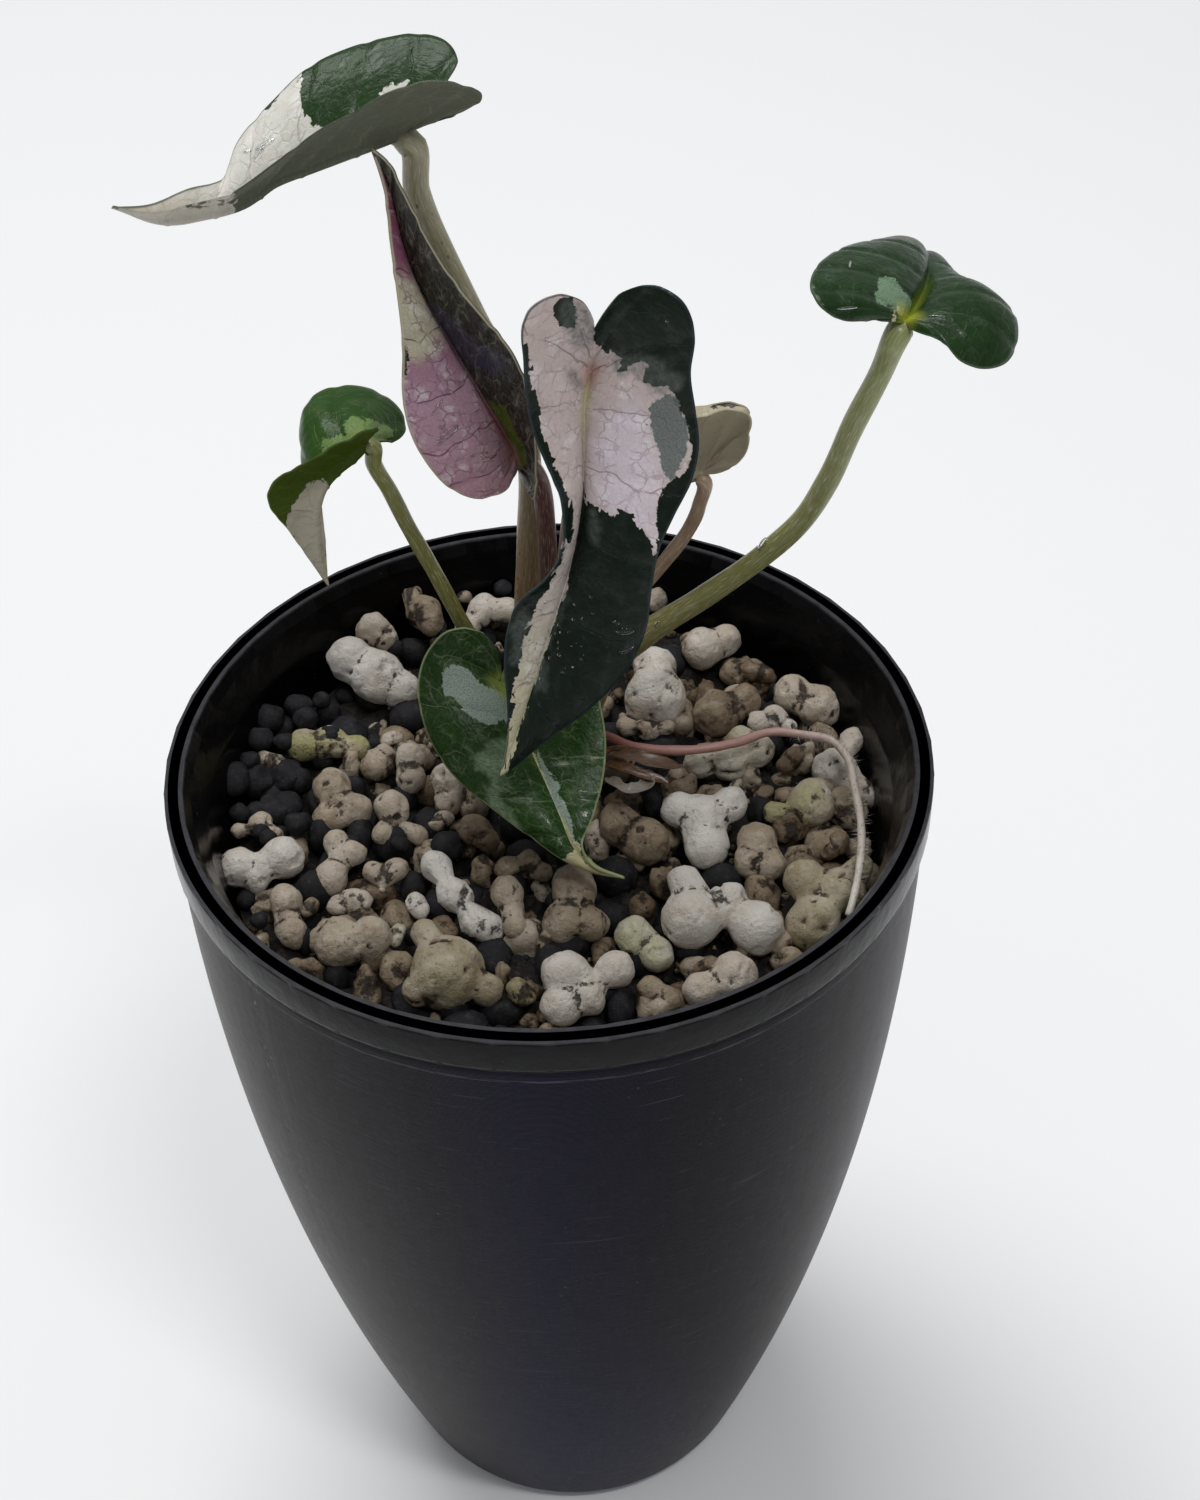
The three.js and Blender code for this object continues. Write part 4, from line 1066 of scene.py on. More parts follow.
def leaf_finish(letter):
    """Living leaf: dark and pale tissue meet along cell-shaped steps, sage patches are flecked, smoky ones
    cloud both, wandering side veins and a net of fine veins run over all, the junction glows yellowish,
    and the underside is paler and duller. Leaf b's smoky patch and a streak on leaf c are a painted sheen,
    and the sage patches of f and g are partly a painted wet highlight and sheen."""
    shades = LEAF_COLOURS[letter]
    paint = Paint(f"leaf_{letter}", {"Coat Roughness": 0.06, "Specular IOR Level": 0.2,
                                     "Subsurface Weight": 0.06,
                                     "Subsurface Radius": (0.0012, 0.0008, 0.0005),
                                     "Subsurface Scale": 1.0})
    flat = paint.map("flat")
    phase, to_margin, _ = paint.parts(paint.map("veins"))
    along, _, _ = paint.parts(paint.map("shares"))
    pitch, from_junction, _ = paint.parts(paint.map("reach"))
    _, across, _ = paint.parts(flat)
    from_rib = across.math("ABSOLUTE")
    wander = phase + (paint.noise(flat, 0.2, 2.0) - 0.5) * 0.8
    to_vein = wander.math("PINGPONG", 0.5) * pitch

    blocks = paint.cells(flat, 0.75, output=1)
    _, block, _ = paint.parts(blocks)
    ragged = (block - 0.5) * 0.7 + (paint.noise(flat, 2.6, 3.0) - 0.5) * 0.7
    dark = paint.step(paint.value("dark") + ragged, -0.05, 0.05)
    sage_edge = (block - 0.5) * 0.5 + (paint.noise(flat, 3.0, 3.0) - 0.5) * 0.8
    sage = paint.step(paint.value("sage") + sage_edge, -0.06, 0.12)
    flecks = paint.step(paint.noise(flat, 5.5, 3.0, 0.65), 0.42, 0.62)
    cool = paint.step(paint.value("cool") + (paint.noise(flat, 0.4) - 0.5) * 2.0, -1.6, 1.4)

    vein = 1 - paint.step(to_vein, 0.04, 0.17)
    vein = vein * paint.step(from_rib, 0.1, 0.8) * paint.step(paint.noise(flat, 0.35), 0.35, 0.6)
    bent = paint.warped(flat, 0.9, 0.5)
    net = 1 - paint.step(paint.cells(bent, 0.62, "DISTANCE_TO_EDGE"), 0.015, 0.07)
    net = net * paint.step(paint.noise(flat, 0.5), 0.35, 0.6)
    fine = 1 - paint.step(paint.cells(bent, 2.0, "DISTANCE_TO_EDGE"), 0.03, 0.14)
    lines = vein + net * 0.6 + fine * 0.2
    lines = lines.math("MINIMUM", 1.0)

    cloud = paint.noise(flat, 0.28, 3.0)
    wash = paint.noise(flat, 0.5, 4.0, 0.6)
    grain = paint.noise(flat, 7.0, 2.0)
    pale = paint.ramp(along, shades["pale"])
    pale = paint.mix(cool, pale, linear(shades["cool"]))
    pale = paint.mix(paint.step(cloud, 0.4, 0.7) * 0.6, pale, (0.9, 0.86, 0.84, 1.0), "MULTIPLY")
    pale = paint.mix(paint.step(wash, 0.5, 0.72) * 0.35, pale, (1.0, 1.0, 0.98, 1.0), "SCREEN")
    pale = paint.mix(lines * shades["veining"], pale, linear(shades["vein"]))
    deep = (0.55, 0.66, 0.5, 1.0)
    green = paint.mix(paint.step(cloud, 0.3, 0.75), linear(shades["dark"]), deep, "MULTIPLY")
    green = paint.mix(paint.step(wash, 0.55, 0.8) * 0.3, green, linear(shades["edge"]))
    green = paint.mix(lines * 0.25, green, linear(shades["edge"]))
    # Sage patches, flecked; on leaves f and g partly a painted wet highlight and sheen.
    patch = paint.mix(flecks * 0.45, linear(shades["sage"]), green)
    colour = paint.mix(dark, pale, green)
    colour = paint.mix(sage * 0.9, colour, patch)
    # Smoky patches cloud both tissues; on leaf b and in one streak of leaf c they are a painted sheen.
    smoke_and_sheen_mask = paint.step(paint.value("smoke") + (wash - 0.5) * 1.6, -0.5, 0.5)
    colour = paint.mix(smoke_and_sheen_mask * (0.5 + (paint.noise(flat, 1.6, 4.0, 0.7) - 0.5) * 1.6), colour,
                       linear(shades["smoke"]))
    glow = (1 - paint.step(from_rib, 0.15, 1.3)) * (1 - paint.step(along, 0.52, 0.72))
    colour = paint.mix(glow * 0.75, colour, linear(shades["glow"]))
    near = 1 - paint.step(from_junction + (cloud - 0.5) * 1.5, 0.6, 2.8)
    colour = paint.mix(near * 0.7, colour, linear(shades["notch"]))
    edge = 1 - paint.step(to_margin, 0.1, 0.3)
    colour = paint.mix(edge * 0.8, colour, linear(shades["edge"]))
    under_dark, under_pale = (linear(shade) for shade in shades["under"])
    below = paint.mix(dark, under_pale, under_dark)
    below = paint.mix(lines * 0.25, below, linear(shades["vein"]))
    below = paint.mix(sage * 0.5, below, linear(shades["sage"]))
    under = paint.value("under")
    colour = paint.mix(under, colour, below)

    paint.wear({
        "Base Color": colour,
        "Roughness": 0.3 + under * 0.2 + (grain - 0.5) * 0.12 + sage * 0.12,
        "Coat Weight": (1 - under) * paint.step(wash, 0.42, 0.7) * 0.22,
    })
    relief = (paint.noise(flat, 1.1, 3.0) - 0.5) * 0.12 - vein * 0.05 - net * 0.03 + (grain - 0.5) * 0.012
    return paint.bump(relief)


def ring_frames(path, reference):
    """Two directions across a path at each of its points: one is the reference with its part along the
    path taken away, and the other is square to both."""
    ahead = unit(np.gradient(path, axis=0))
    first = unit(reference - (ahead @ reference)[:, None] * ahead)
    return first, np.cross(ahead, first)


def tube(path, radii, sides, reference):
    """Rings of points round a path, P = path + r (cos t first + sin t second). The two ends close to a
    point where the radius is nought. Returns the points, triangles and, for each point, its place on the
    flattened skin: across, across, along."""
    first, second = ring_frames(path, np.array(reference, float))
    turn = np.arange(sides) / sides * 2 * np.pi
    cos, sin = np.cos(turn)[None, :, None], np.sin(turn)[None, :, None]
    radii = np.broadcast_to(np.asarray(radii, float), (len(path),))[:, None, None]
    grid = path[:, None] + radii * (cos * first[:, None] + sin * second[:, None])
    run = np.concatenate([[0], np.cumsum(np.linalg.norm(np.diff(path, axis=0), axis=1))])
    spread = np.ones((len(path), sides, 1))
    skin = np.concatenate([radii * cos * spread, radii * sin * spread, run[:, None, None] * spread], axis=-1)
    points, faces, _, kept = merged(grid.reshape(-1, 3), grid_triangles(len(path), sides, wrap=True))
    return points, faces, skin.reshape(-1, 3)[kept]


def stalk_piece(letter):
    """A stalk from the crown to its leaf. It thickens where it clasps the crown, tapers upwards, and at
    the leaf runs on under the midrib, thinning to nothing."""
    stalk = STALKS[letter]
    midrib, left, right = (at_depth(LEAVES[letter][line]) for line in ("midrib", "left", "right"))
    rib = smooth_curve(midrib, np.linspace(0, RIB_RUN, 4))
    across = smooth_curve(left, [0.5])[0] - smooth_curve(right, [0.5])[0]
    below = unit(np.cross(rib[1] - rib[0], across)) * -1
    low, high = stalk["radii"]
    drop = np.array([high * 0.75, high * 0.6, high * 0.45, high * 0.3])[:, None]
    path = even_curve([*stalk["path"], *(rib + below * drop).tolist()], 150)
    share = np.linspace(0, 1, len(path))
    length = np.linalg.norm(np.diff(path, axis=0), axis=1).sum()
    rib_share = 1 - np.linalg.norm(rib[-1] - rib[0]) / length
    radii = low + (high - low) * smoothstep(share, 0, 0.5)
    radii = radii * (1 + 0.12 * np.exp(-(((share - rib_share) / 0.03) ** 2)))
    radii = radii * (1 - 0.85 * smoothstep(share, rib_share, 1)) * (1 + 0.25 * np.exp(-share * 18))
    radii = radii * (1 + 0.02 * np.sin(share * 47 + ord(letter)))
    ends = np.minimum(smoothstep(share, -0.002, 0.01), 1 - smoothstep(share, 0.985, 1.0))
    radii[[0, -1]] = 0
    radii = radii * np.where(ends > 0, np.sqrt(np.clip(ends, 0, 1)), 0)
    points, faces, skin = tube(path, radii, 24, (0.3, 1.0, 0.1))
    shares = skin[:, 2] / skin[:, 2].max()
    piece = add_piece(f"stalk_{letter}", points, faces, stalk_finish(letter), None,
                      {"skin": skin, "share": shares})
    place_piece(piece, "stalk", [f"petiole_{letter}"])
    return points, vertex_normals(points, faces)


def stalk_finish(letter):
    """Smooth waxy stalk with fine lengthwise streaks, a few brown flecks and darker blotches."""
    stops, flecks = STALK_COLOURS[letter]
    paint = Paint(f"stalk_{letter}", {"Coat Weight": 0.25, "Coat Roughness": 0.15})
    skin = paint.vector("skin")
    share = paint.value("share")
    lengthwise = paint.scaled(skin, (1.0, 1.0, 0.06))
    streak = paint.noise(lengthwise, 3.5, 3.0)
    fine = paint.noise(lengthwise, 11.0, 2.0)
    colour = paint.ramp(share + (paint.noise(skin, 0.12) - 0.5) * 0.1, stops)
    colour = paint.mix(paint.step(streak, 0.35, 0.7) * 0.55, colour, (0.72, 0.7, 0.62, 1.0), "MULTIPLY")
    colour = paint.mix(paint.step(fine, 0.5, 0.75) * 0.3, colour, (0.95, 0.93, 0.8, 1.0), "SCREEN")
    speck = paint.cells(paint.scaled(skin, (1.0, 1.0, 0.55)), 0.9)
    chance = paint.step(paint.noise(skin, 0.5), 0.62 - 0.2 * flecks, 0.66 - 0.2 * flecks)
    spot = (1 - paint.step(speck, 0.1, 0.2)) * chance * flecks
    colour = paint.mix(spot * 0.8, colour, linear("#4a2c18"))
    paint.wear({
        "Base Color": colour,
        "Roughness": 0.36 + (fine - 0.5) * 0.15,
    })
    return paint.bump((streak - 0.5) * 0.05 + (fine - 0.5) * 0.02)


def ball(rows, columns, pole=(1.0, 0.0, 0.0)):
    """Directions of a sphere's points, as rings between two closed poles on the given axis."""
    tilt = np.linspace(0, np.pi, rows)[:, None]
    turn = np.arange(columns)[None, :] / columns * 2 * np.pi
    axis = np.array(pole)
    first = unit(np.cross(axis, (0.3, 0.5, 0.9)))
    second = np.cross(axis, first)
    ring = np.cos(turn)[..., None] * first + np.sin(turn)[..., None] * second
    grid = np.cos(tilt)[..., None] * axis + np.sin(tilt)[..., None] * ring
    points, faces, _, _ = merged(grid.reshape(-1, 3), grid_triangles(rows, columns, wrap=True))
    return unit(points), faces[:, ::-1]


def node_points(name):
    """A CAD node's vertices, in millimetres."""
    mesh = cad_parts[name].data
    flat = np.zeros(len(mesh.vertices) * 3, np.float32)
    mesh.vertices.foreach_get("co", flat)
    return flat.reshape(-1, 3).astype(float) / MM


def lumpy_stone(middle, lumps, scale, seed, rings=50, sides=66):
    """A stone of a few round lumps run together. Round each lump lies a field, its radius less the
    distance to its centre; the fields join by a smooth maximum, and in each direction from the middle the
    surface lies where the joined field is last nought. Finer noise then wrinkles it."""
    (across, down), _ = to_pixels(middle)
    offsets = np.array([(x - across, y - down) for x, y, _ in lumps]) / scale
    rise = np.array([0, 1, STONE_SLOPE])
    centres = offsets[:, :1] * RIGHT - offsets[:, 1:] * rise
    centres = np.vstack([centres, centres.mean(axis=0) * 0.5])
    radii = np.array([radius for _, _, radius in lumps]) / scale
    radii = np.append(radii, radii.mean() * 0.75) - STONE_SHRINK
    directions, faces = ball(rings, sides)

    def field(reach):
        away = np.linalg.norm(directions[:, None] * reach[:, None, None] - centres, axis=-1)
        values = (radii - away) / STONE_BLEND
        return STONE_BLEND * np.log(np.exp(values).sum(axis=1)), values

    far = (np.linalg.norm(centres, axis=1) + radii).max() + STONE_BLEND * 2
    reach = np.full(len(directions), far)
    inside = np.zeros(len(directions), bool)
    for step in np.linspace(far, 0.2, 40):
        inside |= field(np.full(len(directions), step))[0] > 0
        reach = np.where(inside, reach, step)
    low, high = reach - far / 30, reach + far / 60
    for _ in range(8):
        halfway = (low + high) / 2
        within = field(halfway)[0] > 0
        low, high = np.where(within, halfway, low), np.where(within, high, halfway)
    values = np.sort(field(low)[1], axis=1)
    joint = np.exp((values[:, -2] - values[:, -1]) * 0.9)
    points = directions * np.maximum(low, 0.3)[:, None]
    knobs = value_noise(points / 2.1 + seed * 7.1, seed)
    small = value_noise(points / 0.85 + seed * 3.3, seed + 5)
    grit = value_noise(points / 0.36, seed + 9)
    pits = smoothstep(value_noise(points / 1.25 + seed, seed + 3), 0.42, 0.62)
    swell = 0.3 * knobs + 0.14 * small + 0.035 * grit - 0.3 * pits
    crease = smoothstep(joint * 0.8 - knobs * 0.45 - small * 0.25 + pits * 0.6, 0.25, 1.0)
    return middle + points + directions * swell[:, None], faces, crease


def stone_piece(number):
    """A pumice stone in the place of its CAD node."""
    name = f"pumice_{number:02d}"
    corners = node_points(name)
    middle = (corners.min(axis=0) + corners.max(axis=0)) / 2
    lumps, paleness, green = STONES[number - 1]
    scale = FOCAL_PIXELS / to_pixels(middle)[1]
    points, faces, crease = lumpy_stone(middle, lumps, scale, number)
    add_stone(f"stone_{number:02d}", points, faces, crease, paleness, green, [name])


def small_stone_piece(number):
    """A small stone that shows between the others, half sunk among them."""
    lumps, paleness, green = SMALL_STONES[number - 1]
    spot = np.mean([lump[:2] for lump in lumps], axis=0)
    size = max(lump[2] for lump in lumps) / 8
    middle = on_level(spot, bed_top(on_level(spot, BED_HEIGHT)[1]) + 2.2 + size * 0.7)
    scale = FOCAL_PIXELS / to_pixels(middle)[1]
    points, faces, crease = lumpy_stone(middle, lumps, scale, number + 40, 30, 40)
    add_stone(f"small_stone_{number:02d}", points, faces, crease, paleness, green, [])


def add_stone(name, points, faces, crease, paleness, green, nodes):
    """Adds a stone, drawn in where it would reach through the liner's wall."""
    out = np.hypot(points[:, 0], points[:, 1])
    room = liner_radius(points[:, 2]) - LINER_WALL - 0.1
    points[:, :2] *= np.minimum(1, room / np.maximum(out, 1))[:, None]
    even = np.ones(len(points))
    attributes = {"crease": crease, "tint": even * paleness, "green": even * green}
    piece = add_piece(name, points, faces, pumice, None, attributes)
    place_piece(piece, "pumice", nodes)


def pumice_finish():
    """Damp pumice: off-white to brown, stained in its creases, peppered with black specks of grit."""
    paint = Paint("pumice", {"Coat Weight": 0.1, "Coat Roughness": 0.25, "Specular IOR Level": 0.35})
    place = paint.place()
    crease = paint.value("crease")
    tint = paint.value("tint")
    cloud = paint.noise(place, 0.2, 3.0)
    shade = tint + (cloud - 0.5) * 0.8
    colour = paint.ramp(shade, [(0.0, "#6b5a45"), (0.3, "#988871"), (0.6, "#beb1a0"), (1.0, "#d8d3cb")])
    mossy = paint.value("green") * paint.step(paint.noise(place, 0.25), 0.3, 0.6)
    colour = paint.mix(mossy * 0.75, colour, linear("#979b55"))
    stain = paint.step(paint.noise(place, 0.42, 5.0, 0.68) + crease * 0.22 - tint * 0.2, 0.42, 0.66)
    colour = paint.mix(stain * 0.75, colour, linear("#5b4631"))
    soiled = paint.noise(place, 1.5, 5.0, 0.75) + crease * 0.2 - tint * 0.07 + stain * 0.05
    dirt = paint.step(soiled, 0.58, 0.68)
    colour = paint.mix(dirt * 0.85, colour, linear("#1e1711"))
    warped = paint.warped(place, 3.0, 0.35)
    specks = 1 - paint.step(paint.cells(warped, 1.9), 0.08, 0.16)
    specks = specks * paint.step(paint.noise(place, 0.35, 2.0), 0.46, 0.58)
    pepper = 1 - paint.step(paint.cells(paint.warped(place, 5.0, 0.2), 4.2), 0.1, 0.2)
    pepper = pepper * paint.step(paint.noise(place, 0.6, 3.0), 0.48, 0.6)
    colour = paint.mix(specks.math("MAXIMUM", pepper) * 0.9, colour, linear("#120e0b"))
    bright = paint.step(paint.noise(place, 0.7, 3.0), 0.56, 0.75) * tint * (1 - dirt)
    colour = paint.mix(bright * 0.45, colour, linear("#ebe7df"))
    paint.wear({
        "Base Color": colour,
        "Roughness": 0.55 - stain * 0.12 + (cloud - 0.5) * 0.2,
    })
    relief = (paint.noise(place, 1.6, 6.0, 0.7) - 0.5) * 0.42 - dirt * 0.08 - specks * 0.05
    return paint.bump(relief)


def bead_finish():
    """Dull black clay beads, dusted grey on top."""
    paint = Paint("black_bead", {"Specular IOR Level": 0.25})
    place = paint.place()
    dust = paint.noise(place, 1.0, 5.0, 0.7)
    grain = paint.noise(place, 5.0, 4.0, 0.7)
    colour = paint.ramp(dust + (grain - 0.5) * 0.3, [(0.3, "#0c0c0e"), (0.55, "#1f1f22"), (0.8, "#3c3b3d")])
    paint.wear({"Base Color": colour, "Roughness": 0.7 - paint.step(dust, 0.5, 0.3) * 0.3})
    return paint.bump((grain - 0.5) * 0.12 + (dust - 0.5) * 0.15)


def bead_points(centre, radius, seed, rows=18, columns=26):
    """A bead: a ball flattened a little, with dents and a few flat sides."""
    directions, faces = ball(rows, columns)
    dents = 1 + 0.13 * value_noise(directions * 1.5 + seed, seed) + 0.03 * value_noise(directions * 5, seed)
    side = unit(np.array([np.sin(seed * 2.3), np.cos(seed * 1.7), 0.8]))
    flat = np.minimum(1.0, 0.8 / np.maximum(directions @ side, 0.01))
    return centre + directions * (radius * dents * flat)[:, None] * (1.0, 1.0, 0.88), faces


def large_bead_piece(number):
    """A large bead in the place of its CAD node."""
    name = f"bead_{number:02d}"
    low, high = (np.array(corner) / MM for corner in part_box(name))
    points, faces = bead_points((low + high) / 2, (high - low).mean() / 2 * 1.04, number, 24, 32)
    place_piece(add_piece(f"clay_{name}", points, faces, black_bead), "bead", [name])


def joined(parts):
    """Several (points, triangles) as one."""
    points, triangles, total = [], [], 0
    for part_points, part_triangles in parts:
        points.append(part_points)
        triangles.append(part_triangles + total)
        total += len(part_points)
    return np.vstack(points), np.vstack(triangles)


def bed_top(y):
    return BED_HEIGHT + BED_SLOPE * y


def loose_beads():
    """The small black beads between the stones, in one piece."""
    parts = []
    for number, (pixel, radius) in enumerate(LOOSE_BEADS):
        centre = on_level(pixel, bed_top(on_level(pixel, BED_HEIGHT)[1]) + 3.0 + radius * 0.5)
        parts.append(bead_points(centre, radius, number + 40, 12, 16))
    place_piece(add_piece("loose_beads", *joined(parts), black_bead), "bead")


def grains(draw):
    """Places for grit on the bed: random spots in the pot, the coarsest first, each kept if it is clear
    enough of the grains kept before it. Returns their places in plan and their radii."""
    tries = 4200
    radius = np.sort(draw.uniform(0.35, 2.4, tries) ** 1.7 / 2.4 ** 0.7)[::-1]
    turn = draw.uniform(0, 2 * np.pi, tries)
    reach = np.sqrt(draw.uniform(0, 1, tries)) * (BED_RADIUS - 0.5)
    spots = np.stack([reach * np.cos(turn), reach * np.sin(turn)], axis=-1)
    kept = []
    for number, (spot, size) in enumerate(zip(spots, radius)):
        if np.hypot(*spot) + size > BED_RADIUS + 0.6:
            continue
        near = np.array(kept, int)
        gap = np.linalg.norm(spots[near] - spot, axis=1) - (radius[near] + size) * 0.9 if kept else [1]
        if np.min(gap) > 0:
            kept.append(number)
    return spots[kept], radius[kept]


def grit_pieces():
    """The grit between the stones: coarse grains with knobs of their own, and fine ones of few faces."""
    draw = np.random.default_rng(5)
    spots, radius = grains(draw)
    lift = draw.uniform(0.0, 1.2, len(radius))
    bare = {"coarse_grit": [], "fine_grit": [], "black_grit": []}
    shade = {label: [] for label in bare}
    for number, (spot, size) in enumerate(zip(spots, radius)):
        height = bed_top(spot[1]) + size * 0.5 + lift[number]
        dark = draw.uniform() < (0.8 if spot[0] < -22 and spot[1] > -4 else 0.4)
        label = "black_grit" if dark else ("coarse_grit" if size > 0.95 else "fine_grit")
        rows, columns = (16, 22) if label == "coarse_grit" else ((9, 12) if size > 0.95 else (6, 8))
        directions, faces = ball(rows, columns, unit(draw.normal(size=3)))
        lumps = value_noise(directions * 1.4 + number, number) + 0.5 * value_noise(directions * 3 + number, 8)
        stretch = draw.uniform(0.7, 1.3, 3)
        swell = 1 + (0.12 if dark else 0.3) * lumps
        points = directions * stretch * (size * swell)[:, None] + (*spot, height)
        bare[label].append((points, faces))
        tint = np.full(len(points), draw.uniform(0.0, 0.5))
        crease = smoothstep(-lumps, -0.2, 0.8)
        shade[label].append(np.stack([crease, tint, np.zeros(len(points))], axis=-1))
    for label, parts in bare.items():
        points, faces = joined(parts)
        crease, tint, green = np.vstack(shade[label]).T
        finish = black_bead if label == "black_grit" else pumice
        attributes = {"crease": crease, "tint": tint, "green": green}
        piece = add_piece(label, points, faces, finish, None, attributes)
        place_piece(piece, "bead" if label == "black_grit" else "pumice")


def turned(profile, steps):
    """A profile of [radius, height] pairs turned about the vertical axis. A profile that starts and ends
    on the axis makes a closed body."""
    profile = np.array(profile, float)
    turn = np.arange(steps) / steps * 2 * np.pi
    grid = np.stack([
        profile[:, :1] * np.cos(turn),
        profile[:, :1] * np.sin(turn),
        profile[:, 1:] * np.ones(steps),
    ], axis=-1)
    points, faces, _, _ = merged(grid.reshape(-1, 3), grid_triangles(len(profile), steps, wrap=True))
    return points, faces[:, ::-1]


def rounded(profile, radius, steps=4):
    """A profile whose corners are cut off by arcs of about the given radius, each a quadratic curve from
    one side of the corner to the other."""
    profile = np.array(profile, float)
    smooth = [profile[:1]]
    share = np.linspace(0, 1, steps + 1)[:, None]
    for before, corner, after in zip(profile[:-2], profile[1:-1], profile[2:]):
        back, on = before - corner, after - corner
        reach_back = min(radius, np.linalg.norm(back) * 0.45)
        reach_on = min(radius, np.linalg.norm(on) * 0.45)
        start = corner + unit(back) * reach_back
        end = corner + unit(on) * reach_on
        arc = (1 - share) ** 2 * start + 2 * share * (1 - share) * corner + share ** 2 * end
        smooth.append(arc)
    smooth.append(profile[-1:])
    return np.vstack(smooth)


def pot_radius(height):
    """The outer pot's outside is a parabola in section."""
    drop = 1 - height / POT_HEIGHT
    return POT_FOOT_RADIUS + (POT_TOP_RADIUS - POT_FOOT_RADIUS) * (1 - drop * drop)


def outer_pot_piece():
    """The printed pot: flat base, rounded foot, parabolic wall, a thin lip, and the same wall inside."""
    turn = np.linspace(0, np.pi / 2, 8)
    foot_height = FOOT_ROUND * (1 - np.cos(turn))
    foot = np.stack([pot_radius(foot_height) - FOOT_ROUND * (1 - np.sin(turn)), foot_height], axis=-1)
    heights = np.linspace(FOOT_ROUND + 0.8, POT_HEIGHT - 0.35, 110)
    wall = np.stack([pot_radius(heights), heights], axis=-1)
    lip = [(POT_TOP_RADIUS - 0.12, POT_HEIGHT - 0.08), (POT_TOP_RADIUS - 0.4, POT_HEIGHT),
           (POT_TOP_RADIUS - POT_WALL + 0.3, POT_HEIGHT), (POT_TOP_RADIUS - POT_WALL, POT_HEIGHT - 0.3)]
    down = np.linspace(POT_HEIGHT - 1.5, POT_FLOOR + FOOT_ROUND, 36)
    inside = np.stack([pot_radius(down) - POT_WALL, down], axis=-1)
    profile = np.vstack([[(0, 0), (10, 0)], foot, wall, lip, inside,
                         [(POT_FOOT_RADIUS - FOOT_ROUND, POT_FLOOR), (0, POT_FLOOR)]])
    points, faces = turned(profile, 256)
    place_piece(add_piece("printed_pot", points, faces, print_finish()), "pot_print", ["outer_pot"])


